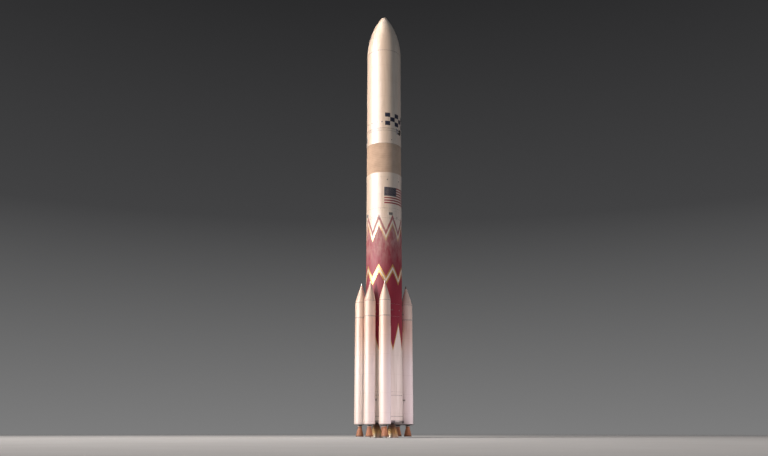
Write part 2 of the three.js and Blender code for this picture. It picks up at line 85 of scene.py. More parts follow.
# Sizes of a booster, read from the second, which stands towards -X. The azimuths are in degrees.
BOOSTER_LOW, BOOSTER_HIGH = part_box("booster_2_case")
BOOSTER = (BOOSTER_HIGH.x - BOOSTER_LOW.x) / 2
BOOSTER_AXIS = -(BOOSTER_HIGH.x + BOOSTER_LOW.x) / 2
BOOSTER_AZIMUTHS = [group + slot * 36 for group in (180, 0) for slot in (-1, 0, 1)]

# Azimuth of the side that the camera sees.
CAMERA_AZIMUTH = math.radians(214)


# Colours and nodes.

# Length of one wave of the wave texture at scale 1.
WAVE = 0.314


def colour(code):
    """Turns an sRGB hex code into a linear colour."""
    shares = [int(code[i:i + 2], 16) / 255 for i in (1, 3, 5)]
    return *(s / 12.92 if s <= 0.04045 else ((s + 0.055) / 1.055) ** 2.4 for s in shares), 1.0


def wire(tree, node, inputs):
    """Sets a node's inputs. A node or one of its outputs is linked, and so are those of a list. Any other
    value is set."""
    for key, value in inputs.items():
        for item in value if isinstance(value, list) else [value]:
            if isinstance(item, bpy.types.Node):
                item = item.outputs[0]
            if isinstance(item, bpy.types.NodeSocket):
                tree.links.new(item, node.inputs[key])
            else:
                node.inputs[key].default_value = item
    return node


def add(tree, kind, inputs=None, **settings):
    """Adds a node with its settings and its inputs."""
    node = tree.nodes.new(kind)
    for name, value in settings.items():
        setattr(node, name, value)
    return wire(tree, node, inputs or {})


def new_material(name):
    """A material with its node tree, its shader and the object coordinates that it reads."""
    material = bpy.data.materials.new(name)
    material.use_nodes = True
    tree = material.node_tree
    place = add(tree, "ShaderNodeTexCoord").outputs["Object"]
    return material, tree, tree.nodes["Principled BSDF"], place


def tinted(ramp, ends, between):
    """Sets the colours of a ramp at its two ends, and at the shares between them."""
    for element, code in zip(ramp.elements, ends):
        element.color = colour(code)
    for share, code in between.items():
        ramp.elements.new(share).color = colour(code)


def surface(tree, shader, tone, bumps, depths, shine, rough, **fixed):
    """Ends a material. Its tone is the base colour, bumps are the height of its relief, with strength and
    distance in depths, and shine spreads the roughness between two values."""
    bump = add(tree, "ShaderNodeBump", {"Height": bumps, "Strength": depths[0], "Distance": depths[1]})
    spread = add(tree, "ShaderNodeMapRange", {"Value": shine, "To Min": rough[0], "To Max": rough[1]})
    wire(tree, shader, {"Base Color": tone, "Roughness": spread, "Normal": bump, **fixed})


# Paints. Each is a two-part polyurethane sprayed on primed metal, so it is glossy with a fine ripple.
# Rain and meltwater leave faint streaks down it, and the welded barrels under it show as shallow rings.
PAINTS = {
    # name: colour, colour of its streaks, roughness, metallic, coat
    "white_paint": ("#f3ede5", "#cbbfb2", 0.33, 0.0, 0.4),
    # cream: white paint with warm sunlight painted into it, on the booster noses
    "nose_coat_with_painted_sunlight": ("#f1e1d6", "#cdae97", 0.42, 0.0, 0.2),
    # peach: white paint with warm sunlight painted into it, on the booster cases
    "case_paint": ("#f1d9cd", "#ceab98", 0.38, 0.0, 0.3),
    "red_paint": ("#95253d", "#6c1829", 0.62, 0.0, 0.0),
    "gold_paint": ("#dcb068", "#b38a4a", 0.34, 0.6, 0.2),
    "navy_paint": ("#1c2748", "#121a33", 0.4, 0.0, 0.2),
}
# A booster's case carries painted warm sunlight: peach at its top, paling to a cool white between these
# heights.
SUN_TINT_LOW, SUN_TINT_HIGH = 3.6, 6.9
BARREL = 1.35
TANK_LOW, TANK_HIGH = span("oxidizer_tank")


def sprayed_paint(name):
    base, streak, gloss, metallic, coat = PAINTS[name]
    material, tree, shader, place = new_material("sprayed_" + name)
    height = add(tree, "ShaderNodeSeparateXYZ", {0: place}).outputs["Z"]

    # Streaks about 120 mm wide and 2 m long.
    stretched = add(tree, "ShaderNodeMapping", {"Vector": place, "Scale": (8, 8, 0.5)})
    streaks = add(tree, "ShaderNodeTexNoise", {"Vector": stretched, "Scale": 1.0, "Detail": 6.0})
    streak_share = add(
        tree, "ShaderNodeMapRange",
        {"Value": streaks, "From Min": 0.48, "From Max": 0.85, "To Max": 0.55},
    )
    worn = add(tree, "ShaderNodeMix", {0: streak_share, 6: colour(base), 7: colour(streak)}, data_type="RGBA")
    # Painted sunlight: the case is peach above the upper height and fades to plain white below the lower one.
    if name == "case_paint":
        thin = add(
            tree, "ShaderNodeMapRange", {"Value": height, "From Min": SUN_TINT_HIGH, "From Max": SUN_TINT_LOW},
            interpolation_type="SMOOTHSTEP",
        )
        worn = add(
            tree, "ShaderNodeMix", {0: thin, 6: worn.outputs[2], 7: colour("#f6f0f0")},
            data_type="RGBA",
        )

    # Hoar frost on the cold tank: thin at its foot, thicker towards its top, in runs and patches.
    colder = add(
        tree, "ShaderNodeMapRange",
        {"Value": height, "From Min": TANK_LOW + 2.0, "From Max": TANK_HIGH - 0.8},
        interpolation_type="SMOOTHSTEP",
    )
    under_skirt = add(
        tree, "ShaderNodeMapRange", {"Value": height, "From Min": TANK_HIGH + 0.5, "From Max": TANK_HIGH}
    )
    runs = add(tree, "ShaderNodeMapping", {"Vector": place, "Scale": (3.2, 3.2, 1.1)})
    rime = add(tree, "ShaderNodeTexNoise", {"Vector": runs, "Scale": 1.0, "Detail": 9.0, "Roughness": 0.62})
    patches = add(
        tree, "ShaderNodeMapRange", {"Value": rime, "From Min": 0.34, "From Max": 0.72, "To Max": 0.6}
    )
    cold_place = add(tree, "ShaderNodeMath", {0: colder, 1: under_skirt}, operation="MULTIPLY")
    frost = add(tree, "ShaderNodeMath", {0: cold_place, 1: patches}, operation="MULTIPLY")
    frosted = add(
        tree, "ShaderNodeMix", {0: frost, 6: worn.outputs[2], 7: colour("#efe7e2")}, data_type="RGBA"
    )

    # Rings every barrel length, 16 mm wide, where the plates of the barrels are welded.
    barrels = add(tree, "ShaderNodeMath", {0: height, 1: BARREL}, operation="DIVIDE")
    share = add(tree, "ShaderNodeMath", {0: barrels}, operation="FRACT")
    ring = add(tree, "ShaderNodeMath", {0: share, 1: 0.5, 2: 0.006}, operation="COMPARE")
    ring_shade = add(tree, "ShaderNodeMath", {0: ring, 1: 0.16}, operation="MULTIPLY")
    seamed = add(
        tree, "ShaderNodeMix", {0: ring_shade, 6: frosted.outputs[2], 7: colour("#6d625a")},
        data_type="RGBA",
    )

    # The spray ripple is 2 to 5 mm from crest to crest, drawn at 25 mm so that it shows.
    ripple = add(tree, "ShaderNodeTexNoise", {"Vector": place, "Scale": 40.0, "Detail": 2.0})
    raised = add(tree, "ShaderNodeMath", {0: ripple, 1: ring}, operation="ADD")
    dull = add(tree, "ShaderNodeMath", {0: streak_share, 1: frost}, operation="ADD")
    fixed = {"Metallic": metallic, "IOR": 1.5, "Coat Weight": coat, "Coat Roughness": 0.4}
    surface(tree, shader, seamed.outputs[2], raised, (0.12, 0.004), dull, (gloss, gloss + 0.3), **fixed)
    return material


# Sprayed polyurethane foam, left bare on the tank and thinly painted on the pipe: matte, lumpy from the spray
# passes and browned unevenly by daylight.
def spray_foam(name, base, sunned, pale):
    material, tree, shader, place = new_material(name)
    clouds = add(tree, "ShaderNodeTexNoise", {"Vector": place, "Scale": 1.6, "Detail": 6.0})
    browned = add(tree, "ShaderNodeMapRange", {"Value": clouds, "From Min": 0.35, "From Max": 0.7})
    tone = add(tree, "ShaderNodeMix", {0: browned, 6: colour(base), 7: colour(sunned)}, data_type="RGBA")
    # Each pass of the spray gun leaves a band 150 mm high.
    bands = add(
        tree, "ShaderNodeTexWave", {"Vector": place, "Scale": WAVE / 0.15, "Distortion": 1.2},
        bands_direction="Z",
    )
    band_share = add(tree, "ShaderNodeMapRange", {"Value": bands, "To Max": 0.28})
    banded = add(
        tree, "ShaderNodeMix", {0: band_share, 6: tone.outputs[2], 7: colour(pale)}, data_type="RGBA"
    )
    # Foam cells are 1 mm, and the lumps that show are 20 to 60 mm.
    lumps = add(tree, "ShaderNodeTexNoise", {"Vector": place, "Scale": 22.0, "Detail": 8.0})
    dim = {"Specular IOR Level": 0.3}
    surface(tree, shader, banded.outputs[2], lumps, (0.6, 0.02), lumps, (0.78, 0.95), **dim)
    return material


# Aluminium alloy turned or milled and left bare: satin, with fine level tool marks.
def machined_aluminium():
    material, tree, shader, place = new_material("machined_aluminium")
    stretched = add(tree, "ShaderNodeMapping", {"Vector": place, "Scale": (2, 2, 90)})
    marks = add(tree, "ShaderNodeTexNoise", {"Vector": stretched, "Scale": 1.0, "Detail": 3.0})
    smears = add(tree, "ShaderNodeTexNoise", {"Vector": place, "Scale": 5.0, "Detail": 5.0})
    tone = add(
        tree, "ShaderNodeMix", {0: smears, 6: colour("#c3c1bd"), 7: colour("#8f8c88")}, data_type="RGBA"
    )
    surface(tree, shader, tone.outputs[2], marks, (0.15, 0.002), smears, (0.26, 0.5), Metallic=1.0)
    return material


NOZZLE_LOW = span("front_engine_nozzle")[0]


# Stainless steel tubes brazed side by side into a bell. Hot runs tint them: blue-grey by the throat,
# then bronze and straw, and dull grey at the cool exit.
def heat_tinted_steel():
    material, tree, shader, place = new_material("heat_tinted_steel")
    height = add(tree, "ShaderNodeSeparateXYZ", {0: place}).outputs["Z"]
    waves = add(tree, "ShaderNodeTexNoise", {"Vector": place, "Scale": 3.0, "Detail": 5.0})
    wavy = add(tree, "ShaderNodeMath", {0: waves, 1: 0.3, 2: height}, operation="MULTIPLY_ADD")
    up = add(
        tree, "ShaderNodeMapRange",
        {"Value": wavy, "From Min": NOZZLE_LOW + 0.15, "From Max": NOZZLE_LOW + 1.25},
    )
    tint = add(tree, "ShaderNodeValToRGB", {"Fac": up})
    tinted(tint.color_ramp, ("#a39c92", "#59606e"), {0.35: "#b3935f", 0.65: "#85664c"})
    grain = add(tree, "ShaderNodeTexNoise", {"Vector": place, "Scale": 80.0, "Detail": 3.0})
    surface(tree, shader, tint.outputs["Color"], grain, (0.1, 0.002), waves, (0.25, 0.5), Metallic=1.0)
    return material


# Dark finishes that differ only in tone and grain: steel sooted by the flame, a phenolic liner charred by it,
# alloy cast in sand and left rough, and rubber sealant pressed into a joint and cured.
DARK_FINISHES = {
    # name: colour, lighter patches, roughness, metallic, size of the grain in metres
    "sooted_steel": ("#3d362f", "#8a745f", 0.6, 0.6, 0.05),
    "charred_liner": ("#2a2623", "#66503f", 0.85, 0.0, 0.03),
    "cast_alloy": ("#3d3f44", "#6c6a68", 0.5, 0.75, 0.02),
    "sealant": ("#2b2929", "#4b4745", 0.75, 0.0, 0.015),
}


def dark_finish(name):
    base, patch, gloss, metallic, grain = DARK_FINISHES[name]
    material, tree, shader, place = new_material(name)
    clouds = add(tree, "ShaderNodeTexNoise", {"Vector": place, "Scale": 4.0, "Detail": 6.0})
    share = add(tree, "ShaderNodeMapRange", {"Value": clouds, "From Min": 0.45, "From Max": 0.8})
    tone = add(tree, "ShaderNodeMix", {0: share, 6: colour(base), 7: colour(patch)}, data_type="RGBA")
    pits = add(tree, "ShaderNodeTexNoise", {"Vector": place, "Scale": 1 / grain, "Detail": 4.0})
    rough = gloss - 0.12, gloss + 0.12
    surface(tree, shader, tone.outputs[2], pits, (0.3, 0.004), pits, rough, Metallic=metallic)
    return material


# Cloth tape soaked in phenolic resin, wound on a mandrel and cured: matte terracotta, with the edges of
# the tape as fine rings and a scorched rim.
def wound_phenolic():
    material, tree, shader, place = new_material("wound_phenolic")
    height = add(tree, "ShaderNodeSeparateXYZ", {0: place}).outputs["Z"]
    # The tape's edges are 3 mm apart, drawn at 20 mm so that they show.
    rings = add(
        tree, "ShaderNodeTexWave", {"Vector": place, "Scale": 16.0, "Distortion": 0.6}, bands_direction="Z"
    )
    clouds = add(tree, "ShaderNodeTexNoise", {"Vector": place, "Scale": 6.0, "Detail": 5.0})
    tone = add(
        tree, "ShaderNodeMix", {0: clouds, 6: colour("#c58a5f"), 7: colour("#93603f")}, data_type="RGBA"
    )
    low = span("booster_2_nozzle")[0]
    scorch = add(
        tree, "ShaderNodeMapRange",
        {"Value": height, "From Min": low + 0.16, "From Max": low, "To Max": 0.8},
    )
    scorched = add(
        tree, "ShaderNodeMix", {0: scorch, 6: tone.outputs[2], 7: colour("#33251c")}, data_type="RGBA"
    )
    surface(tree, shader, scorched.outputs[2], rings, (0.25, 0.003), clouds, (0.6, 0.82))
    return material


# Woven glass cloth over wool batting, stitched into a quilt: matte, soft-edged squares, with shade painted
# into the stitch lines.
def quilted_cloth(name, base, shaded, quilt):
    material, tree, shader, place = new_material(name)
    ridges = []
    for direction in ("X", "Y", "Z"):
        # One stitch line each quilt size, as the trough of a wave.
        wave = add(
            tree, "ShaderNodeTexWave", {"Vector": place, "Scale": WAVE / quilt},
            bands_direction=direction, wave_profile="SIN",
        )
        ridges.append(add(tree, "ShaderNodeMath", {0: wave, 1: 0.3}, operation="POWER"))
    flat = add(tree, "ShaderNodeMath", {0: ridges[0], 1: ridges[1]}, operation="MULTIPLY")
    puffs = add(tree, "ShaderNodeMath", {0: flat, 1: ridges[2]}, operation="MULTIPLY")
    # The weave is 1 mm, drawn at 8 mm so that it shows.
    weave = add(tree, "ShaderNodeTexVoronoi", {"Vector": place, "Scale": 125.0})
    height = add(tree, "ShaderNodeMath", {0: weave, 1: 0.12, 2: puffs}, operation="MULTIPLY_ADD")
    # The colour darkens in the stitch troughs between the puffs, as painted shade in the creases, and in
    # random stains.
    stains = add(tree, "ShaderNodeTexNoise", {"Vector": place, "Scale": 3.0, "Detail": 6.0})
    worn = add(tree, "ShaderNodeMath", {0: puffs, 1: stains}, operation="MULTIPLY")
    share = add(tree, "ShaderNodeMapRange", {"Value": worn, "From Min": 0.1, "From Max": 0.55})
    tone = add(tree, "ShaderNodeMix", {0: share, 6: colour(shaded), 7: colour(base)}, data_type="RGBA")
    soft = {"Sheen Weight": 0.2}
    surface(tree, shader, tone.outputs[2], height, (0.7, 0.02), weave, (0.8, 0.95), **soft)
    return material


FINISHES = {name: sprayed_paint(name) for name in PAINTS}
FINISHES.update({name: dark_finish(name) for name in DARK_FINISHES})
FINISHES.update(
    tan_foam=spray_foam("sprayed_tan_foam", "#d1c1b2", "#bcaa99", "#dcd0c4"),
    pale_foam=spray_foam("painted_pipe_foam", "#e5ddcf", "#cfc2ae", "#efe8dc"),
    aluminium=machined_aluminium(),
    nozzle_steel=heat_tinted_steel(),
    phenolic=wound_phenolic(),
    blanket=quilted_cloth("quilted_glass_cloth", "#c2bbae", "#7f776b", 0.12),
    liner_cloth=quilted_cloth("acoustic_liner_cloth", "#d4d3cd", "#a3a199", 0.2),
)


# Forms.


class Form:
    """The points and faces of a piece while it is made. Each face keeps the name of its finish."""

    def __init__(self):
        self.points = []
        self.faces = []
        self.finishes = []

    def add(self, points, faces, finishes, place=None):
        """Adds one closed shape. Its doubled points are merged, and faces without area are dropped."""
        known = {}
        index = []
        for point in points:
            spot = place @ Vector(point) if place else Vector(point)
            key = tuple(round(c, 6) for c in spot)
            if key not in known:
                known[key] = len(self.points)
                self.points.append(spot)
            index.append(known[key])
        if isinstance(finishes, str):
            finishes = [finishes] * len(faces)
        for face, finish in zip(faces, finishes):
            corners = list(dict.fromkeys(index[i] for i in face))
            if len(corners) > 2:
                self.faces.append(corners)
                self.finishes.append(finish)

    def moved(self, place):
        """A copy of the form at another place."""
        copy = Form()
        copy.points = [place @ point for point in self.points]
        copy.faces = self.faces
        copy.finishes = self.finishes
        return copy


def shown_as(name, data):
    """An object in the scene that shows a mesh, a lamp or a camera."""
    shown = bpy.data.objects.new(name, data)
    bpy.context.scene.collection.objects.link(shown)
    return shown


def mesh_of(name, points, edges=(), faces=()):
    """A new mesh with the given points, edges and faces."""
    mesh = bpy.data.meshes.new(name)
    mesh.from_pydata(points, edges, faces)
    return mesh


def piece(name, form, body, slot, *replaced):
    """Makes a form into an object that rides on a body and stands for the nodes that it replaces."""
    mesh = mesh_of(name, form.points, faces=form.faces)
    worn = list(dict.fromkeys(form.finishes))
    for finish in worn:
        mesh.materials.append(FINISHES[finish])
    mesh.polygons.foreach_set("material_index", [worn.index(finish) for finish in form.finishes])
    work = bmesh.new()
    work.from_mesh(mesh)
    bmesh.ops.recalc_face_normals(work, faces=work.faces)
    work.to_mesh(mesh)
    work.free()
    mesh.shade_smooth()
    mesh.set_sharp_from_angle(angle=math.radians(32))
    return settle(shown_as(name, mesh), body, slot, *replaced)


def settle(shown, body, slot, *replaced):
    """Lets an object ride on a body and stand for nodes. Its slot is not used."""
    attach(shown, body)
    if replaced:
        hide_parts(*replaced)
    return shown


def wrapped(form, profile, finishes, columns=COLUMNS, start=0.0, end=TURN, loop=False, place=None):
    """Sweeps a profile of [radius, height] pairs round the Z axis. It runs from axis to axis, or closes on
    itself if it is a loop. Profile and finishes may be functions of the azimuth. A part turn is closed at
    both ends."""
    full = math.isclose(end - start, TURN)
    rows = profile if callable(profile) else lambda azimuth: profile
    points = []
    for column in range(columns if full else columns + 1):
        azimuth = start + (end - start) * column / columns
        points += [(r * math.cos(azimuth), r * math.sin(azimuth), z) for r, z in rows(azimuth)]
    size = len(rows(start))
    count = len(points) // size
    faces, worn = [], []
    for column in range(columns):
        here, there = column * size, (column + 1) % count * size
        azimuth = start + (end - start) * (column + 0.5) / columns
        dress = finishes(azimuth) if callable(finishes) else finishes
        for i in range(size if loop else size - 1):
            j = (i + 1) % size
            faces.append((here + i, there + i, there + j, here + j))
            worn.append(dress if isinstance(dress, str) else dress[i])
    if not full:
        for edge in (0, columns * size):
            for i in range(size // 2 - 1):
                faces.append((edge + i, edge + i + 1, edge + size - 2 - i, edge + size - 1 - i))
                worn.append(dress if isinstance(dress, str) else dress[0])
    form.add(points, faces, worn, place)


def skinned(form, rings, finish, place=None):
    """Joins rings of points, one after another, and closes the first and the last."""
    size = len(rings[0])
    points = [point for ring in rings for point in ring]
    faces = [list(range(size)), list(range(len(points) - size, len(points)))]
    for ring in range(len(rings) - 1):
        for i in range(size):
            j = (i + 1) % size
            here = ring * size
            faces.append((here + i, here + j, here + size + j, here + size + i))
    form.add(points, faces, finish, place)


def piped(form, path, radius, finish, sides=16, place=None):
    """A round tube along a path."""
    path = [Vector(point) for point in path]
    rings = []
    side = None
    for i, point in enumerate(path):
        along = (path[min(i + 1, len(path) - 1)] - path[max(i - 1, 0)]).normalized()
        side = (side - along * side.dot(along)).normalized() if side else along.orthogonal().normalized()
        up = along.cross(side)
        angles = evenly(0, TURN, sides)[:-1]
        rings.append([point + radius * (math.cos(a) * side + math.sin(a) * up) for a in angles])
    skinned(form, rings, finish, place)


def eased_block(form, low, high, finish, ease=EASE, place=None):
    """A box between two corners, with bevelled edges."""
    work = bmesh.new()
    bmesh.ops.create_cube(work, size=1)
    for vert in work.verts:
        vert.co = Vector(a + (b - a) * (c + 0.5) for a, b, c in zip(low, high, vert.co))
    bmesh.ops.bevel(work, geom=work.edges[:], offset=ease, segments=2, profile=0.5, affect="EDGES")
    work.verts.index_update()
    faces = [[vert.index for vert in face.verts] for face in work.faces]
    form.add([vert.co.copy() for vert in work.verts], faces, finish, place)
    work.free()


def slab(form, outline, low, high, finish, place=None, ease=0.002):
    """A plate with a given outline between two heights, with eased edges."""
    middle = [sum(c) / len(outline) for c in zip(*outline)]
    reach = max(math.dist(point, middle) for point in outline)
    rings = []
    for height, inset in ((low, ease), (low + ease, 0), (high - ease, 0), (high, ease)):
        share = 1 - inset / reach
        rings.append([(*(m + (c - m) * share for c, m in zip(point, middle)), height) for point in outline])
    skinned(form, rings, finish, place)


def rounded_outline(width, height, corner, steps=4):
    """Points of a rectangle with round corners, anticlockwise about its middle."""
    points = []
    for quarter, (sign_u, sign_v) in enumerate(((1, 1), (-1, 1), (-1, -1), (1, -1))):
        for step in range(steps + 1):
            angle = math.pi / 2 * (quarter + step / steps)
            points.append((
                sign_u * (width / 2 - corner) + corner * math.cos(angle),
                sign_v * (height / 2 - corner) + corner * math.sin(angle),
            ))
    return points


def refined(outline, spacing):
    """The same closed outline, with more points on its long sides."""
    points = []
    for here, there in zip(outline, outline[1:] + outline[:1]):
        parts = max(1, round(math.dist(here, there) / spacing))
        points += [tuple(a + (b - a) * i / parts for a, b in zip(here, there)) for i in range(parts)]
    return points


AXIS_X, AXIS_Y, AXIS_Z = Vector((1, 0, 0)), Vector((0, 1, 0)), Vector((0, 0, 1))


def outward_spot(radius, azimuth, height):
    """A spot on a cylinder round the Z axis, and the direction that faces away from the axis there."""
    faced = Vector((math.cos(azimuth), math.sin(azimuth), 0))
    return radius * faced + height * AXIS_Z, faced


def curved_plate(form, azimuth, height, size, finish, rise=0.008):
    """A door or cover with round corners, curved to lie on the core."""
    outline = refined(rounded_outline(*size, corner=0.03), 0.06)
    lip = rise / 2
    inner = [1 - 2 * lip / size[0], 1 - 2 * lip / size[1]]
    shares = (0.0, 0.25, 0.5, 0.75)
    levels = [(share, share, CORE - 0.01) for share in (*shares, 1.0)]
    levels += [(1, 1, CORE + lip), (*inner, CORE + rise)]
    levels += [(share, share, CORE + rise) for share in shares[::-1]]
    rings = [
        [outward_spot(level, azimuth + u * across / CORE, height + v * along)[0] for u, v in outline]
        for across, along, level in levels
    ]
    skinned(form, rings, finish)


def axes(x, y, z):
    """A turn that sends the local axes to three directions."""
    return Matrix((x, y, z)).transposed().to_4x4()


def about_z(angle):
    """A turn about the Z axis."""
    return Matrix.Rotation(angle, 4, "Z")


def outwards(azimuth, height):
    """A place on the core whose Z axis points away from the core's axis and whose Y axis points up."""
    return about_z(azimuth) @ Matrix.Translation((CORE, 0, height)) @ axes(AXIS_Y, AXIS_Z, AXIS_X)


def sealed(paint):
    """Finishes of a groove in a painted wall, and of the wall after it."""
    return ["sealant", "sealant", "sealant", paint]


def stepped(radius, low, high, rise, slope):
    """Profile points of a band that stands out from a wall, or of a groove where its rise is negative."""
    return [(radius, low), (radius + rise, low + slope), (radius + rise, high - slope), (radius, high)]


def turned_ring(form, inner, outer, low, high, finish, columns, place=None, ease=0.002):
    """A ring with eased outer edges."""
    profile = [
        (inner, low), (outer - ease, low), (outer, low + ease), (outer, high - ease), (outer - ease, high),
        (inner, high),
    ]
    wrapped(form, profile, finish, columns, loop=True, place=place)


def disc(form, radius, low, high, finish, columns, place):
    """A flat round plate between two heights."""
    wrapped(form, [(0, low), (radius, low), (radius, high), (0, high)], finish, columns, place=place)


def round_vent(form, azimuth, height, size):
    """A round vent: a turned rim with three louvres in it."""
    place = outwards(azimuth, height)
    rim, louvre = 0.012, 0.008
    opening = size - rim
    turned_ring(form, opening, size, -0.01, 0.01, "aluminium", 28, place)
    disc(form, size - rim / 2, -0.01, 0.001, "sealant", 28, place)
    for row in (-1, 0, 1):
        middle = row * size / 2
        half = math.sqrt(opening ** 2 - middle ** 2)
        low, high = (-half, middle - louvre / 2, 0), (half, middle + louvre / 2, louvre)
        eased_block(form, low, high, "aluminium", 0.0015, place)


# Repeated details, grown by geometry nodes.


def node_group(name, **sockets):
    """An empty geometry tree that takes a mesh and the named inputs, and gives a mesh."""
    tree = bpy.data.node_groups.new(name, "GeometryNodeTree")
    tree.interface.new_socket("Mesh", in_out="INPUT", socket_type="NodeSocketGeometry")
    for socket, kind in sockets.items():
        tree.interface.new_socket(socket, in_out="INPUT", socket_type="NodeSocket" + kind)
    tree.interface.new_socket("Mesh", in_out="OUTPUT", socket_type="NodeSocketGeometry")
    return tree, add(tree, "NodeGroupInput").outputs


def close_group(tree, instances, finish):
    """Ends a tree: its instances are made real and take their finish."""
    real = add(tree, "GeometryNodeRealizeInstances", {"Geometry": instances})
    dressed = add(tree, "GeometryNodeSetMaterial", {"Geometry": real, "Material": finish})
    add(tree, "NodeGroupOutput", {"Mesh": dressed})


def placed_on_points(tree, given, shape):
    """Puts a shape on each point of the given mesh, turned by the point's own angles."""
    turn = add(tree, "GeometryNodeInputNamedAttribute", {"Name": "turn"}, data_type="FLOAT_VECTOR")
    rotation = add(tree, "FunctionNodeEulerToRotation", {0: turn})
    return add(
        tree, "GeometryNodeInstanceOnPoints",
        {"Points": given["Mesh"], "Instance": shape, "Rotation": rotation},
    )


def fastener_tree():
    """A hexagonal head on a round washer at each point."""
    tree, given = node_group("fasteners", HeadRadius="Float", HeadHeight="Float", Finish="Material")
    radius, height = given["HeadRadius"], given["HeadHeight"]
    head = add(tree, "GeometryNodeMeshCylinder", {"Vertices": 6, "Radius": radius, "Depth": height})
    wide = add(tree, "ShaderNodeMath", {0: radius, 1: 1.5}, operation="MULTIPLY")
    thin = add(tree, "ShaderNodeMath", {0: height, 1: 0.4}, operation="MULTIPLY")
    under = add(tree, "GeometryNodeMeshCylinder", {"Vertices": 10, "Radius": wide, "Depth": thin})
    both = add(tree, "GeometryNodeJoinGeometry", {"Geometry": [head, under]})
    close_group(tree, placed_on_points(tree, given, both), given["Finish"])
    return tree


def pad_tree():
    """A soft pad at each point: a box rounded by subdivision."""
    tree, given = node_group("pads", Size="Vector", Finish="Material")
    box = add(
        tree, "GeometryNodeMeshCube",
        {"Size": given["Size"], "Vertices X": 4, "Vertices Y": 4, "Vertices Z": 2},
    )
    soft = add(tree, "GeometryNodeSubdivisionSurface", {"Mesh": box, "Level": 1})
    close_group(tree, placed_on_points(tree, given, soft), given["Finish"])
    return tree


def star_tree():
    """A thin five-pointed star at each point."""
    tree, given = node_group("stars", Radius="Float", Rise="Float", Finish="Material")
    inner = add(tree, "ShaderNodeMath", {0: given["Radius"], 1: 0.382}, operation="MULTIPLY")
    outline = add(
        tree, "GeometryNodeCurveStar",
        {"Points": 5, "Inner Radius": inner, "Outer Radius": given["Radius"], "Twist": 0.0},
    )
    face = add(tree, "GeometryNodeFillCurve", {"Curve": outline.outputs["Curve"]}, mode="NGONS")
    raised = add(tree, "GeometryNodeExtrudeMesh", {"Mesh": face, "Offset Scale": given["Rise"]})
    back = add(tree, "GeometryNodeFlipFaces", {"Mesh": face})
    both = add(tree, "GeometryNodeJoinGeometry", {"Geometry": [raised, back]})
    closed = add(tree, "GeometryNodeMergeByDistance", {"Geometry": both, "Distance": 0.0001})
    close_group(tree, placed_on_points(tree, given, closed), given["Finish"])
    return tree


def tube_wall_tree():
    """Copies of one tapering tube, set side by side round the Z axis."""
    tree, given = node_group("tube_wall", Count="Int", Finish="Material")
    taper = add(tree, "GeometryNodeInputNamedAttribute", {"Name": "taper"}, data_type="FLOAT")
    curve = add(tree, "GeometryNodeMeshToCurve", {"Mesh": given["Mesh"]})
    circle = add(tree, "GeometryNodeCurvePrimitiveCircle", {"Resolution": 6, "Radius": 1.0})
    tube = add(
        tree, "GeometryNodeCurveToMesh",
        {"Curve": curve, "Profile Curve": circle.outputs["Curve"], "Scale": taper, "Fill Caps": True},
    )
    points = add(tree, "GeometryNodePoints", {"Count": given["Count"]})
    index = add(tree, "GeometryNodeInputIndex")
    share = add(tree, "ShaderNodeMath", {0: index, 1: given["Count"]}, operation="DIVIDE")
    angle = add(tree, "ShaderNodeMath", {0: share, 1: TURN}, operation="MULTIPLY")
    rotation = add(tree, "FunctionNodeEulerToRotation", {0: add(tree, "ShaderNodeCombineXYZ", {"Z": angle})})
    copies = {"Points": points, "Instance": tube, "Rotation": rotation}
    close_group(tree, add(tree, "GeometryNodeInstanceOnPoints", copies), given["Finish"])
    return tree


TREES = {
    "fasteners": fastener_tree(), "pads": pad_tree(), "stars": star_tree(), "tube_wall": tube_wall_tree(),
}


def grown(name, tree, base, body, slot, place=None, smooth=False, **inputs):
    """Runs a geometry tree on a mesh or a list of spots. The result is a plain mesh that rides on a body."""
    seed = shown_as(name + "_seed", point_mesh(name, base) if isinstance(base, list) else base)
    modifier = seed.modifiers.new(tree, "NODES")
    modifier.node_group = TREES[tree]
    for item in TREES[tree].interface.items_tree:
        if item.in_out == "INPUT" and item.name in inputs:
            modifier[item.identifier] = inputs[item.name]
    evaluated = seed.evaluated_get(bpy.context.evaluated_depsgraph_get())
    mesh = bpy.data.meshes.new_from_object(evaluated)
    bpy.data.objects.remove(seed)
    mesh.name = name
    if place:
        mesh.transform(place)
    if smooth:
        mesh.shade_smooth()
        mesh.set_sharp_from_angle(angle=math.radians(50))
    else:
        mesh.shade_flat()
    return settle(shown_as(name, mesh), body, slot)


def point_mesh(name, spots):
    """A mesh of loose points. Each spot is a place and the direction that its detail faces."""
    mesh = mesh_of(name, [place for place, faced in spots])
    turns = mesh.attributes.new("turn", "FLOAT_VECTOR", "POINT")
    for item, (place, faced) in zip(turns.data, spots):
        item.vector = Vector(faced).to_track_quat("Z", "Y").to_euler()
    return mesh


def fasteners(name, spots, body, radius, height, finish="aluminium"):
    """Fasteners at the given spots, as one piece."""
    grown(
        name, "fasteners", spots, body, "bare_metal",
        HeadRadius=radius, HeadHeight=height, Finish=FINISHES[finish],
    )


def ring_of_spots(count, radius, height, start=0.0, end=TURN, faced=None):
    """Spots round the Z axis at one height. They face outwards, or the given way."""
    spots = [outward_spot(radius, angle, height) for angle in middles(start, end, count)]
    return [(spot, faced) for spot, outward in spots] if faced else spots


def spots_round_plate(azimuth, height, size, radius, spacing=0.09, inset=0.02):
    """Spots along the edge of a curved plate."""
    width, tall = size[0] - 2 * inset, size[1] - 2 * inset
    across = max(2, round(width / spacing))
    along = max(2, round(tall / spacing))
    places = [(width * (i / across - 0.5), side * tall / 2) for i in range(across + 1) for side in (-1, 1)]
    places += [(side * width / 2, tall * (i / along - 0.5)) for i in range(1, along) for side in (-1, 1)]
    return [outward_spot(radius, azimuth + u / CORE, height + v) for u, v in places]


def moved_spots(spots, place):
    """The same spots at another place."""
    turning = place.to_3x3()
    return [(place @ Vector(spot), turning @ Vector(faced)) for spot, faced in spots]


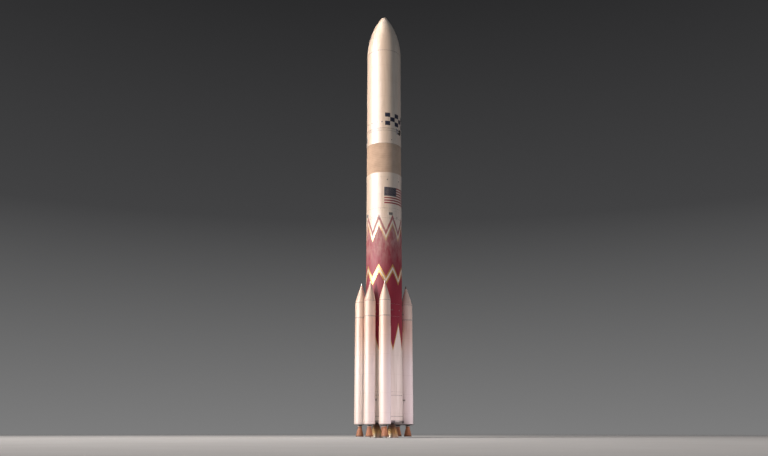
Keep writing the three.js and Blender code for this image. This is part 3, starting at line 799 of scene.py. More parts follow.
# Livery: a broad red field between two zigzag edges, with gold piping and a white chevron band. Each edge is
# a base height and the height of its teeth, and the finish is what lies above it.
TEETH = 8
TOOTH_AZIMUTH = math.radians(197.5)
LIVERY = [
    # base height, height of the teeth, finish above the edge
    (6.9, -1.85, "gold_paint"),
    (7.09, -1.85, "red_paint"),
    (9.85, 0.95, "gold_paint"),
    (10.05, 0.95, "white_paint"),
    (10.27, 0.95, "gold_paint"),
    (10.47, 0.95, "red_paint"),
    (13.15, 1.25, "gold_paint"),
    (13.34, 1.25, "white_paint"),
    (13.6, 1.25, "red_paint"),
    (13.98, 1.25, "white_paint"),
]


def tooth(azimuth):
    """1 at the point of a tooth and 0 between two teeth."""
    share = (TEETH * (azimuth - TOOTH_AZIMUTH) / TURN) % 1
    return abs(2 * share - 1)


def zigzag_wall(low, high):
    """The painted wall of a core section: its profile at each azimuth, and the finishes up it."""

    def rows(azimuth):
        edges = [base + teeth * tooth(azimuth) for base, teeth, finish in LIVERY]
        return [(CORE, low), *((CORE, min(max(edge, low), high)) for edge in edges), (CORE, high)]

    return rows, lambda azimuth: ["white_paint"] + [finish for base, teeth, finish in LIVERY]


# A striped flag with a starred corner, as a common figure. Its sides lie on columns of the wall.
FLAG_STRIPES = 13
FLAG_TOP = 17.4
FLAG_HEIGHT = 1.3
FLAG_START = math.radians(215)
FLAG_END = math.radians(320)
CANTON_END = math.radians(257.5)
CANTON_STRIPES = 7


def flag_wall(low, high):
    """The wall of the interstage, with the flag painted on it."""
    heights = evenly(FLAG_TOP - FLAG_HEIGHT, FLAG_TOP, FLAG_STRIPES)

    def finishes(azimuth):
        if not FLAG_START < azimuth < FLAG_END:
            return ["white_paint"] * (FLAG_STRIPES + 2)
        stripes = ["white_paint" if i % 2 else "red_paint" for i in range(FLAG_STRIPES)]
        if azimuth < CANTON_END:
            stripes[-CANTON_STRIPES:] = ["navy_paint"] * CANTON_STRIPES
        return ["white_paint", *stripes, "white_paint"]

    return lambda azimuth: [(CORE, z) for z in (low, *heights, high)], finishes


def core_skin(node, slot, wall, ring=0.0):
    """A closed drum with paint on its wall, and a raised ring at its top where two sections join."""
    low, high = span(node)
    rows, dress = wall(low + EASE, high - ring - EASE)
    foot = [(0, low), (CORE - EASE, low)]
    if ring:
        lip = RAISED - CORE
        head = [
            (CORE, high - ring), (RAISED, high - ring + lip), (RAISED, high - lip),
            (RAISED - lip, high), (0, high),
        ]
    else:
        head = [(CORE - EASE, high), (0, high)]
    last = ["white_paint"] * (len(head) - 1) + ["aluminium"]
    form = Form()
    wrapped(
        form, lambda azimuth: foot + rows(azimuth) + head,
        lambda azimuth: ["aluminium", "sealant", *dress(azimuth), *last],
    )
    piece(node + "_skin", form, "root", slot, node)


for node, slot, wall, ring in (
    ("fuel_tank", "white_paint", zigzag_wall, 0.0),
    ("intertank", "red_paint", zigzag_wall, 0.0),
    ("oxidizer_tank", "red_paint", zigzag_wall, 0.0),
    ("forward_skirt", "white_paint", zigzag_wall, 0.06),
    ("interstage", "white_paint", flag_wall, 0.375),
):
    core_skin(node, slot, wall, ring)


def flag_stars():
    """Fifty stars in nine rows, six and five in turn."""
    across = (CANTON_END - FLAG_START) / 12
    down = FLAG_HEIGHT * CANTON_STRIPES / FLAG_STRIPES / 10
    spots = [
        outward_spot(CORE, FLAG_START + across * (column + 1), FLAG_TOP - down * (row + 1))
        for row in range(9) for column in range(row % 2, 11, 2)
    ]
    grown(
        "flag_stars", "stars", spots, "root", "white_paint",
        Radius=0.032, Rise=0.002, Finish=FINISHES["white_paint"],
    )


flag_stars()


def upper_stage_foam():
    """The upper stage's tank under its foam, which the spray gun left slightly wavy."""
    low, high = span("upper_stage_tank")
    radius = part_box("upper_stage_tank")[1].x
    rows, waves, relief = 44, 3.2, 0.0035

    def lumpy(azimuth):
        wall = []
        for z in evenly(low + EASE, high - EASE, rows):
            spot = Vector((math.cos(azimuth), math.sin(azimuth), z)) * waves
            wall.append((radius + relief * noise.noise(spot) - 0.002, z))
        return [(0, low), (radius - EASE, low), *wall, (radius - EASE, high), (0, high)]

    form = Form()
    wrapped(form, lumpy, "tan_foam")
    piece("upper_stage_foam", form, "root", "tan_foam", "upper_stage_tank")


upper_stage_foam()


def forward_adapter():
    """The adapter that the fairing stands on, with the deck that carries the payload adapter."""
    low, high = span("forward_adapter")
    rim, deck = CORE - 0.06, high - 0.05
    profile = [(0, low), (CORE - EASE, low), (CORE, low + EASE)]
    profile += stepped(CORE, high - 0.1, high - 0.084, -0.004, 0.004)
    profile += [(CORE, high - EASE), (CORE - EASE, high), (rim + EASE, high), (rim, high - EASE)]
    profile += [(rim, deck), (0, deck)]
    finishes = ["aluminium", "sealant", "white_paint", *sealed("white_paint")]
    form = Form()
    wrapped(form, profile, finishes + ["white_paint"] * 3 + ["aluminium"] * 3)
    piece("forward_adapter_skin", form, "root", "white_paint", "forward_adapter")


forward_adapter()


def thrust_section():
    """The hollow skirt at the base, with two shallow joint grooves outside."""
    low, high = span("thrust_section")
    inner = CORE - 0.04
    wall = [(CORE - EASE, low), (CORE, low + EASE)]
    finishes = ["white_paint"] * 2
    for height in (low + 0.28, high - 0.25):
        wall += stepped(CORE, height, height + 0.018, -0.005, 0.003)
        finishes += sealed("white_paint")
    wall += [(CORE, high - EASE), (CORE - EASE, high), (inner, high), (inner, low)]
    finishes += ["white_paint", "sealant", "cast_alloy", "aluminium"]
    form = Form()
    wrapped(form, wall, finishes, loop=True)
    piece("thrust_section_skin", form, "root", "white_paint", "thrust_section")


thrust_section()


# Base of the core: the ring that is held down, its four feet and the blanket between them.
RING_LOW, RING_HIGH = span("hold_down_ring")[0] + 0.05, span("hold_down_ring")[1]
RING_OUTER = CORE + 0.02
RING_INNER = CORE - 0.04
FOOT_REACH = CORE + 0.08
FOOT_HALF = 0.125
FOOT_SOLE = 0.035
FOOT_AZIMUTHS = [62, 118, 242, 298]


def hold_down_ring():
    form = Form()
    flange, ease = 0.026, 0.003
    web = RING_OUTER - 0.014
    wrapped(
        form,
        [
            (RING_INNER, RING_LOW), (RING_OUTER - ease, RING_LOW), (RING_OUTER, RING_LOW + ease),
            (RING_OUTER, RING_LOW + flange - ease), (web, RING_LOW + flange + 2 * ease),
            (web, RING_HIGH - flange - 2 * ease), (RING_OUTER, RING_HIGH - flange + ease),
            (RING_OUTER, RING_HIGH - ease), (RING_OUTER - ease, RING_HIGH), (RING_INNER, RING_HIGH),
        ],
        "aluminium", loop=True,
    )
    # A sole, a cap and three webs between them: reach, middle, half width, height of both ends and ease.
    blocks = [
        (FOOT_REACH, 0.0, FOOT_HALF, 0.0, FOOT_SOLE, 0.005),
        (FOOT_REACH - 0.02, 0.0, FOOT_HALF, RING_HIGH - 0.03, RING_HIGH, 0.005),
    ]
    blocks += [(FOOT_REACH - 0.025, y, 0.014, 0.03, RING_HIGH - 0.025, 0.004) for y in (-0.1, 0.0, 0.1)]
    bolts = [
        ((reach, y, height), AXIS_Z)
        for reach, height in ((FOOT_REACH - 0.045, RING_HIGH), (FOOT_REACH - 0.025, FOOT_SOLE + 0.001))
        for y in (-0.05, 0.05)
    ]
    spots = ring_of_spots(60, web, (RING_LOW + RING_HIGH) / 2)
    for azimuth in FOOT_AZIMUTHS:
        place = about_z(math.radians(azimuth))
        for reach, middle, half, low, high, eased in blocks:
            near, far = (RING_INNER, middle - half, low), (reach, middle + half, high)
            eased_block(form, near, far, "cast_alloy", eased, place)
        spots += moved_spots(bolts, place)
    piece("hold_down_ring_and_feet", form, "root", "bare_metal", "hold_down_ring")
    fasteners("hold_down_fasteners", spots, "root", 0.011, 0.014)


hold_down_ring()

# Main engines. Each hangs from a gimbal, and swings in a round opening of the base blanket.
BELL_LOW, BELL_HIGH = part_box("front_engine_nozzle")
ENGINE_OFFSET = -(BELL_LOW.y + BELL_HIGH.y) / 2
EXIT_Z = BELL_LOW.z
GIMBAL_Z = sum(span("front_engine_gimbal")) / 2
THROAT_Z = 0.075
THROAT = 0.125
BELL_WALL = 0.025
EXIT = (BELL_HIGH.x - BELL_LOW.x) / 2 - BELL_WALL
CHAMBER = 0.17
CHAMBER_LOW = 0.225
OPENING = 0.325
TUBES = 132
# How far outside the bell's radius both faces of the hot wall and the middle of its tubes lie.
HOT_FACE, COLD_FACE, TUBE_MIDDLE = 0.009, 0.013, 0.0125
BAND_HEIGHTS = (-0.16, -0.3, -0.44, -0.58, -0.71, -0.83)


def base_blanket():
    """Quilted pads under the base plate, trim rings round its two openings and one at its rim."""
    under = span("base_heat_shield")[0]
    step = 0.15
    reach = step * 0.62
    spots = []
    for x, y in itertools.product(evenly(-8.5 * step, 8.5 * step, 17), repeat=2):
        near = min(math.hypot(x, y - side * ENGINE_OFFSET) for side in (-1, 1))
        if math.hypot(x, y) + reach < RING_INNER - 0.01 and near - reach > OPENING + 0.025:
            spots.append(((x, y, under - 0.002), -AXIS_Z))
    pads = grown(
        "base_blanket_pads", "pads", spots, "root", "blanket", smooth=True,
        Size=(step - 0.004, step - 0.004, 0.022), Finish=FINISHES["blanket"],
    )
    form = Form()
    low = under - 0.006
    turned_ring(form, RING_INNER - 0.06, RING_INNER - 0.003, low, under, "aluminium", COLUMNS)
    spots = ring_of_spots(64, RING_INNER - 0.03, low, faced=-AXIS_Z)
    for side in (-1, 1):
        place = Matrix.Translation((0, side * ENGINE_OFFSET, 0))
        turned_ring(form, OPENING, OPENING + 0.05, low, under, "aluminium", 72, place)
        spots += moved_spots(ring_of_spots(28, OPENING + 0.03, low, faced=-AXIS_Z), place)
    piece("base_trim_rings", form, "root", "bare_metal")
    fasteners("base_trim_fasteners", spots, "root", 0.006, 0.006)


base_blanket()


def bell_radius(z):
    """Radius of the bell's inside at a height."""
    share = (THROAT_Z - z) / (THROAT_Z - EXIT_Z)
    return THROAT + (EXIT - THROAT) * (1.5 * share - 0.5 * share ** 2)


def engine_bell(end, place):
    """The hot wall of an engine with its chamber, and the bands and the manifold round its tubes."""
    body, head, face_z, steps, columns = f"{end}_engine", BELL_HIGH.z, BELL_HIGH.z - 0.05, 24, 96
    heights = evenly(THROAT_Z, EXIT_Z, steps)
    inside = [(bell_radius(z) + HOT_FACE, z) for z in heights]
    outside = [(bell_radius(z) + COLD_FACE, z) for z in heights[::-1]]
    # The injector's face, with a groove for each ring of its holes.
    face = [(0, face_z)]
    for groove in (0.03, 0.06, 0.09, 0.12):
        near, far = groove - 0.005, groove + 0.005
        face += [(near, face_z), (near, face_z + 0.008), (far, face_z + 0.008), (far, face_z)]
    chamber = [(CHAMBER - BELL_WALL, face_z), (CHAMBER - BELL_WALL, CHAMBER_LOW)]
    jacket = [
        (THROAT + BELL_WALL, THROAT_Z), (CHAMBER, CHAMBER_LOW),
        *stepped(CHAMBER, head - 0.09, head - 0.025, 0.012, 0.005),
        (CHAMBER, head - 0.004), (CHAMBER - 0.004, head), (0, head),
    ]
    finishes = ["nozzle_steel"] * len(face) + ["sooted_steel"] * len(chamber + inside)
    finishes += ["nozzle_steel"] * (len(outside + jacket) - 1)
    form = Form()
    wrapped(form, face + chamber + inside + outside + jacket, finishes, columns, place=place)
    for height in BAND_HEIGHTS:
        around, low, high = bell_radius(height), height - 0.012, height + 0.012
        turned_ring(form, around + 0.011, around + 0.03, low, high, "nozzle_steel", columns, place, 0.004)
    # Collector at the exit and manifold under the shield.
    turned_ring(form, EXIT - 0.001, EXIT + 0.03, EXIT_Z, EXIT_Z + 0.03, "nozzle_steel", columns, place, 0.006)
    pipe, around, height, sides = 0.024, 0.196, -0.035, 14
    angles = evenly(0, TURN, sides)[:-1]
    manifold = [(around + pipe * math.cos(a), height + pipe * math.sin(a)) for a in angles]
    wrapped(form, manifold, "nozzle_steel", 72, loop=True, place=place)
    piece(f"{end}_engine_bell", form, body, "nozzle_steel", f"{end}_engine_nozzle")

    # One tube of the wall, as a line of points with the tube's radius at each.
    count = 22
    levels = evenly(0, EXIT_Z + 0.012, count)
    middle = [bell_radius(z) + TUBE_MIDDLE for z in levels]
    points = [(r, 0, z) for r, z in zip(middle, levels)]
    tube = mesh_of("tube", points, [(i, i + 1) for i in range(count)])
    tapers = tube.attributes.new("taper", "FLOAT", "POINT")
    for item, around in zip(tapers.data, middle):
        item.value = 1.04 * math.pi * around / TUBES
    grown(
        f"{end}_engine_tubes", "tube_wall", tube, body, "nozzle_steel", place, True,
        Count=TUBES, Finish=FINISHES["nozzle_steel"],
    )


def engine_shield(end, place):
    """The quilted part-ball that closes the opening round the bell at every angle."""
    ball, thick, collar, outer = 0.9525, 0.015, 0.1675, math.radians(28)
    inner = math.asin(collar / ball)
    rows = 16
    centre = place @ Matrix.Translation((0, 0, GIMBAL_Z))

    def quilt(azimuth):
        lobes = abs(math.sin(azimuth * 12)) ** 0.4
        angles = evenly(inner, outer, rows)
        puffs = [lobes * abs(math.sin(TURN * 2 * share)) ** 0.4 for share in evenly(0, 1, rows)]
        radii = [ball - 0.005 * (1 - puff) for puff in puffs] + [ball - thick] * (rows + 1)
        return [(r * math.sin(a), -r * math.cos(a)) for r, a in zip(radii, angles + angles[::-1])]

    form = Form()
    wrapped(form, quilt, "blanket", 192, loop=True, place=centre)
    low = GIMBAL_Z - ball * math.cos(inner)
    turned_ring(form, collar - 0.012, collar + 0.012, low - 0.008, low + 0.02, "aluminium", 72, place)
    quilted = piece(f"{end}_engine_shield_blanket", form, f"{end}_engine", "blanket", f"{end}_engine_shield")


PIN_BORE = 0.0425


def lug(form, outline, low, high, bore, outer, place):
    """A lug with a bored eye: a ring about the local Z axis, and a web that runs from it."""
    turned_ring(form, bore, outer, low, high, "cast_alloy", 32, place)
    arc = [math.radians(a) for a in (214, 190, 165, 140, 115, 90, 65, 40, 20)]
    middle = (bore + outer) / 2
    web = [(middle * math.cos(a), middle * math.sin(a)) for a in arc] + outline
    slab(form, web, low + 0.001, high - 0.001, "cast_alloy", place)


def powerhead(end, place):
    """Injector dome, two turbopumps and the lines between them, above the chamber."""
    low, high = span(f"{end}_engine_powerhead")
    form = Form()
    # Radius and height above the chamber.
    dome = [
        (0, 0), (0.19, 0), (0.196, 0.006), (0.196, 0.04), (0.19, 0.046), (0.15, 0.05), (0.145, 0.1),
        (0.12, 0.16), (0.085, 0.2), (0.07, 0.24), (0.07, 0.3), (0.1, 0.31), (0.1, 0.348), (0, 0.348),
    ]
    pump = [
        (0, 0.03), (0.05, 0.03), (0.056, 0.045), (0.056, 0.08), (0.07, 0.085), (0.07, 0.105),
        (0.052, 0.11), (0.052, 0.19), (0.073, 0.2), (0.073, 0.24), (0.05, 0.26), (0.045, 0.3),
        (0.03, 0.32), (0, 0.325),
    ]
    aside = 0.155
    bend = evenly(0, TURN / 4, 10)
    long_line = [(aside * math.cos(a), aside * math.sin(a), low + 0.22 - 0.12 * a) for a in bend]
    short_line = [(0.1, 0.03, low + 0.33), (0.13, 0.03, low + 0.32), (0.15, 0.02, low + 0.29)]
    wrapped(form, [(r, low + z) for r, z in dome], "cast_alloy", 48, place=place)
    for turn in (0, TURN / 2):
        around = place @ about_z(turn)
        beside = around @ Matrix.Translation((aside, 0, 0))
        wrapped(form, [(r, low + z) for r, z in pump], "cast_alloy", 32, place=beside)
        piped(form, long_line, 0.026, "aluminium", 14, around)
        piped(form, short_line, 0.018, "aluminium", 12, around)
    # Two ears carry the gimbal's pin along Y. Their local X axis points up, and the web of each runs down to
    # the powerhead's top plate.
    to_pin = place @ Matrix.Translation((0, 0, GIMBAL_Z)) @ axes(AXIS_Z, AXIS_X, AXIS_Y)
    reach = GIMBAL_Z - high
    foot = [(-0.03, 0.05), (-reach, 0.05), (-reach, -0.05), (-0.045, -0.045)]
    for near in (-0.12, 0.08):
        lug(form, foot, near, near + 0.04, PIN_BORE, 0.058, to_pin)
    eased_block(form, (-0.06, -0.13, high - 0.015), (0.06, 0.13, high + 0.012), "cast_alloy", 0.004, place)
    piece(f"{end}_engine_pumps", form, f"{end}_engine", "dark_metal", f"{end}_engine_powerhead")


for side, end in ((-1, "front"), (1, "rear")):
    middle = Matrix.Translation((0, side * ENGINE_OFFSET, 0))
    engine_bell(end, middle)
    engine_shield(end, middle)
    powerhead(end, middle)


# Boosters. Each form is made once, with the booster's own axis on the Z axis and the core towards -X.
NOSE_LOW, NOSE_HIGH = span("booster_2_nose")
CONE = 1.45
CONE_LOW = NOSE_HIGH - CONE
LEAN = 0.07
BOOSTER_TIP = 0.045
BOOSTER_COLUMNS = 72
BOOSTER_EXIT = span("booster_2_nozzle")[0]
CASE_LOW, CASE_HIGH = BOOSTER_LOW.z, BOOSTER_HIGH.z


def cone_radius(height):
    """Radius of a booster's nose cone at a height above its base."""
    return BOOSTER * (1 - (height / CONE) ** 1.15)


def booster_nose():
    steps, cap_steps, cap, tip_rise = 20, 6, CONE - 0.2, 0.03
    wall = [(0, NOSE_LOW), (BOOSTER - 0.003, NOSE_LOW), (BOOSTER, NOSE_LOW + 0.003)]
    # The cream on the nose is painted warm sunlight over white paint.
    finishes = ["aluminium", "sealant", "nose_coat_with_painted_sunlight"]
    # Grooves where the nose joins the case, and under the cone.
    for height in (NOSE_LOW + 0.05, CONE_LOW - 0.03):
        wall += stepped(BOOSTER, height, height + 0.018, -0.005, 0.004)
        finishes += sealed("nose_coat_with_painted_sunlight")
    wall += [(cone_radius(height), CONE_LOW + height) for height in evenly(0, cap, steps)]
    finishes += ["nose_coat_with_painted_sunlight"] * (steps + 1)
    # A bare metal cap with a round tip ends the cone.
    wall.append((cone_radius(cap) + 0.003, CONE_LOW + cap + 0.002))
    for height in evenly(cap, CONE - tip_rise, cap_steps)[1:]:
        wall.append((max(cone_radius(height), BOOSTER_TIP * 0.9) + 0.002, CONE_LOW + height))
    for angle in (TURN / 6, TURN / 12, 0):
        wall.append((BOOSTER_TIP * math.sin(angle), NOSE_HIGH - tip_rise * (1 - math.cos(angle))))
    finishes += ["aluminium"] * (len(wall) - 1 - len(finishes))
    form = Form()
    wrapped(form, wall, finishes, BOOSTER_COLUMNS)
    for point in form.points:
        point.x -= LEAN * max(0.0, point.z - CONE_LOW) / CONE
    return form


def booster_case():
    low, high = CASE_LOW, CASE_HIGH
    wall = [
        (0, low), (BOOSTER - 0.053, low), (BOOSTER - 0.047, low + 0.004), (BOOSTER - 0.002, low + 0.056),
        (BOOSTER, low + 0.062),
    ]
    for bottom, top in ((0.05, 0.1), (0.62, 0.68), (6.85, 6.91)):
        wall += stepped(BOOSTER, bottom, top, 0.004, 0.004)
    finishes = ["cast_alloy"] + ["aluminium"] * 3
    finishes += ["case_paint"] * (len(wall) - len(finishes)) + ["sealant", "aluminium"]
    wall += [(BOOSTER, high - 0.003), (BOOSTER - 0.003, high), (0, high)]
    form = Form()
    wrapped(form, wall, finishes, BOOSTER_COLUMNS)
    return form


def booster_nozzle():
    """The fixed nozzle: a flexible boot, a metal neck ring and the wound cone with its charred inside."""
    exit_radius, throat, wall, neck, steps, folds = 0.28, 0.09, 0.02, 0.165, 12, 8
    top = CASE_LOW - 0.0003
    throat_z = top - 0.125
    flare = []
    for share in evenly(0, 1, steps):
        radius = throat + (exit_radius - wall - throat) * (1.25 * share - 0.25 * share ** 2)
        flare.append((radius, throat_z + (BOOSTER_EXIT - throat_z) * share))
    boot = [(neck - 0.012 * (i % 2), top - 0.004 - 0.009 * i) for i in range(folds)]
    collar = [(neck, top - 0.078), (neck, top - 0.1), (neck - 0.004, top - 0.105)]
    cone = [(r + wall, z) for r, z in flare[1:-1]]
    cone += [
        (exit_radius - 0.002, BOOSTER_EXIT + 0.03), (exit_radius, BOOSTER_EXIT + 0.026),
        (exit_radius, BOOSTER_EXIT + 0.003), (exit_radius - 0.003, BOOSTER_EXIT),
    ]
    points = [(0, top), (neck - 0.004, top), *boot, *collar, *cone, *flare[::-1], (0, throat_z)]
    finishes = ["sealant"] * (1 + folds) + ["aluminium"] * 3 + ["phenolic"] * len(cone)
    finishes += ["charred_liner"] * (len(points) - 1 - len(finishes))
    form = Form()
    wrapped(form, points, finishes, 64)
    return form


def cable_cover(form, radius, half, rise, low, high, slope, seams, finish, place):
    """A low cover on a wall that runs along +X, with sloping ends and a groove at each joint."""
    # Half of its section: across the wall, and the share of its rise.
    side = [(half, 0.0), (half, 0.62), (half * 0.86, 0.94), (half * 0.6, 1.0)]
    section = [(-half, 0.0)] + side + [(-u, v) for u, v in side[:0:-1]]

    def ring(height, share, inset=0.0):
        points = []
        for u, v in section:
            out = rise * share * v - inset * (v > 0.5) if v else -0.02
            points.append((radius + out, u - math.copysign(inset, u), height))
        return points

    rings = [ring(low, 0.02), ring(low + slope * 0.5, 0.55), ring(low + slope, 1.0)]
    for height in evenly(low + slope, high - slope, seams)[1:-1]:
        for above, inset in ((-0.009, 0.0), (-0.006, 0.004), (0.006, 0.004), (0.009, 0.0)):
            rings.append(ring(height + above, 1.0, inset))
    rings += [ring(high - slope, 1.0), ring(high - slope * 0.5, 0.55), ring(high, 0.02)]
    skinned(form, rings, finish, place)


def attachment(height, half_height, half_width, brace, spread):
    """A thrust fitting between core and booster with a brace at each side, made with the core's axis on the
    Z axis and the booster towards +X."""
    form = Form()
    pad = spread + 0.06
    # Base plate, bracket and clevis: how far out both faces are, half width, half height, finish and ease.
    for near, far, across, up, finish, ease in (
        (-0.03, 0.03, pad, 0.07, "aluminium", 0.006),
        (-0.02, 0.045, half_width, half_height, "aluminium", 0.008),
        (0.03, 0.095, half_width * 0.62, half_height * 0.72, "cast_alloy", 0.006),
    ):
        low, high = (CORE + near, -across, height - up), (CORE + far, across, height + up)
        eased_block(form, low, high, finish, ease)
    pin = [(CORE + 0.05, side * (half_width + 0.012), height) for side in (-1, 1)]
    piped(form, pin, 0.022, "cast_alloy", 20)
    for side in (-1, 1):
        start = Vector((CORE - 0.03, side * (spread + 0.013), height))
        end = Vector((CORE + 0.19, side * (spread + 0.076), height))
        nut = (end - start).normalized() * 0.012
        piped(form, [start, end], brace, "aluminium", 20)
        for share in (0.28, 0.66):
            middle = start.lerp(end, share)
            piped(form, [middle - nut, middle + nut], brace * 1.28, "cast_alloy", 20)
    spots = [
        ((CORE + out, side * across, height + up), AXIS_X)
        for out, across, reach in ((0.03, pad - 0.03, 0.045), (0.045, half_width - 0.018, half_height - 0.02))
        for side in (-1, 1) for up in (-reach, reach)
    ]
    return form, spots


ATTACHMENTS = {
    # middle height, half height, half width, radius and spread of the braces
    "forward": (7.85, 0.11, 0.08, 0.025, 0.15),
    "aft": (1.6, 0.2, 0.12, 0.035, 0.21),
}
BOOSTER_FORMS = (
    # end of the node's name, end of the piece's name, slot, form
    ("nose", "nose_skin", "white_paint", booster_nose()),
    ("case", "case_skin", "white_paint", booster_case()),
    ("nozzle", "nozzle_cone", "ablative", booster_nozzle()),
)


def boosters():
    fittings = {name: attachment(*sizes) for name, sizes in ATTACHMENTS.items()}
    raceways = Form()
    for side in (-1, 1):
        turn = about_z(side * TURN / 4)
        cable_cover(
            raceways, BOOSTER, half=0.045, rise=0.022, low=0.75, high=6.8, slope=0.12, seams=5,
            finish="case_paint", place=turn,
        )
    rings = ring_of_spots(28, BOOSTER, NOSE_LOW + 0.09) + ring_of_spots(24, BOOSTER + 0.004, 0.075)
    rings += ring_of_spots(20, BOOSTER - 0.03, CASE_LOW + 0.028)
    for number, azimuth in enumerate(BOOSTER_AZIMUTHS, 1):
        booster = f"booster_{number}"
        turned = about_z(math.radians(azimuth))
        place = turned @ Matrix.Translation((BOOSTER_AXIS, 0, 0))
        for part, shown, slot, form in BOOSTER_FORMS:
            piece(f"{booster}_{shown}", form.moved(place), "root", slot, f"{booster}_{part}")
        piece(f"{booster}_raceways", raceways.moved(place), "root", "white_paint")
        spots = moved_spots(rings, place)
        for name, (form, bolts) in fittings.items():
            fitting = f"{booster}_{name}_fitting"
            piece(fitting, form.moved(turned), "root", "bare_metal", f"{booster}_{name}_attach")
            spots += moved_spots(bolts, turned)
        fasteners(f"{booster}_fasteners", spots, "root", 0.008, 0.009)


boosters()


# Outside lines, on the rear side.
FEED_LINE_AZIMUTH = math.radians(105)
FEED_LINE = 0.12
FEED_LINE_OUT = CORE + 0.05 + FEED_LINE
FEED_LINE_LOW, FEED_LINE_HIGH = 1.3, 8.1
BEND = 0.25
FLANGE_HEIGHTS = (7.35, 4.7, 2.05)
BELLOWS_HEIGHTS = (7.1, 2.3)
SADDLE_HEIGHTS = (6.2, 5.45, 3.95, 3.2)
TUNNEL_AZIMUTH = math.radians(75)
TUNNEL_LOW, TUNNEL_HIGH = 1.1, 15.6


def feed_line():
    """The foam-covered pipe from the intertank down to the thrust section, with its flanges and saddles."""
    place = about_z(FEED_LINE_AZIMUTH)
    out, top, low, inner, columns = FEED_LINE_OUT, FEED_LINE_HIGH, FEED_LINE_LOW, FEED_LINE - 0.02, 40
    centre = out - BEND
    bend = evenly(0, TURN / 4, 8)
    path = [(CORE - 0.03, 0, top)]
    path += [(centre + BEND * math.sin(a), 0, top - BEND + BEND * math.cos(a)) for a in bend]
    path += [(out, 0, z) for z in evenly(top - BEND, low + BEND, 12)[1:-1]]
    path += [(centre + BEND * math.cos(a), 0, low + BEND - BEND * math.sin(a)) for a in bend]
    path.append((CORE - 0.03, 0, low))
    form = Form()
    piped(form, path, FEED_LINE - 0.004, "pale_foam", 28, place)
    along = place @ Matrix.Translation((out, 0, 0))
    spots = []
    for height in FLANGE_HEIGHTS:
        for middle in (height - 0.013, height + 0.013):
            sizes = inner, FEED_LINE + 0.022, middle - 0.011, middle + 0.011
            turned_ring(form, *sizes, "aluminium", columns, along, 0.003)
        spots += moved_spots(ring_of_spots(12, FEED_LINE + 0.008, height + 0.024, faced=AXIS_Z), along)
    # Bellows under the top flange and over the bottom one.
    for height in BELLOWS_HEIGHTS:
        ripple = [(FEED_LINE + (0.012 if i % 2 else -0.002), height - 0.09 + 0.015 * i) for i in range(13)]
        profile = [(inner, ripple[0][1]), *ripple, (inner, ripple[-1][1])]
        wrapped(form, profile, "aluminium", columns, loop=True, place=along)
    for height in SADDLE_HEIGHTS:
        low, high = height - 0.03, height + 0.03
        turned_ring(form, inner, FEED_LINE + 0.008, low, high, "aluminium", columns, along, 0.003)
        plate = (CORE - 0.02, -0.07, low), (CORE + 0.012, 0.07, high)
        eased_block(form, *plate, "aluminium", 0.004, place)
        for y in (-0.045, 0.045):
            strut = (CORE, y - 0.012, height - 0.022), (out - 0.08, y + 0.012, height + 0.022)
            eased_block(form, *strut, "aluminium", 0.003, place)
        spots += moved_spots([((CORE + 0.012, y, height), AXIS_X) for y in (-0.062, 0.062)], place)
    for height in (FEED_LINE_HIGH, FEED_LINE_LOW):
        around = outwards(FEED_LINE_AZIMUTH, height)
        turned_ring(form, inner, FEED_LINE + 0.045, -0.02, 0.012, "white_paint", columns, around, 0.004)
    piece("feed_line_pipe", form, "root", "white_paint", "feed_line")
    fasteners("feed_line_fasteners", spots, "root", 0.008, 0.01)


feed_line()


def cable_tunnel():
    form = Form()
    place = about_z(TUNNEL_AZIMUTH)
    half, end_gap, count = 0.1, 0.22, 64
    cable_cover(
        form, CORE, half, rise=0.085, low=TUNNEL_LOW, high=TUNNEL_HIGH, slope=0.175, seams=11,
        finish="white_paint", place=place,
    )
    piece("cable_tunnel_covers", form, "root", "white_paint", "cable_tunnel")
    heights = middles(TUNNEL_LOW + end_gap, TUNNEL_HIGH - end_gap, count)
    spots = [((CORE + 0.036, side * half, z), side * AXIS_Y) for z in heights for side in (-1, 1)]
    fasteners("cable_tunnel_fasteners", moved_spots(spots, place), "root", 0.007, 0.007)


cable_tunnel()

# Doors, covers and vents on the core.
COVERS = [
    # azimuth in degrees, height, width, tall, finish
    (248, 1.15, 0.42, 0.6, "white_paint"),
    (292, 1.15, 0.42, 0.6, "white_paint"),
    (270, 1.7, 0.24, 0.24, "white_paint"),
    (90, 0.72, 0.56, 0.42, "aluminium"),
    (124, 2.75, 0.3, 0.2, "white_paint"),
    (236, 15.3, 0.34, 0.22, "aluminium"),
    (56, 15.3, 0.34, 0.22, "aluminium"),
    (146, 15.3, 0.34, 0.22, "aluminium"),
    (326, 15.3, 0.34, 0.22, "aluminium"),
    (196, 16.6, 0.46, 0.62, "white_paint"),
    (16, 16.6, 0.46, 0.62, "white_paint"),
    (90, 17.3, 0.5, 0.56, "aluminium"),
    (206, 21.55, 0.4, 0.5, "white_paint"),
    (330, 21.55, 0.4, 0.5, "white_paint"),
    (132, 21.55, 0.5, 0.44, "aluminium"),
]
# A metal cover that is wider than this has ports for the umbilical lines.
WIDE = 0.45
VENTS = [
    # height, azimuths in degrees
    (8.0, (240, 270, 300, 60, 120)),
    (15.05, (170, 200, 260, 20, 110)),
    (18.0, (180, 225, 270, 315, 0, 45, 135)),
    (21.3, (180, 240, 300, 0, 60, 110)),
]
JOINT_FASTENERS = [
    # height, count, radius
    (2.12, 120, CORE),
    (15.72, 120, RAISED),
    (18.41, 96, RAISED),
    (21.04, 96, CORE),
]
INTERTANK_JOINTS = (7.58, 8.42)


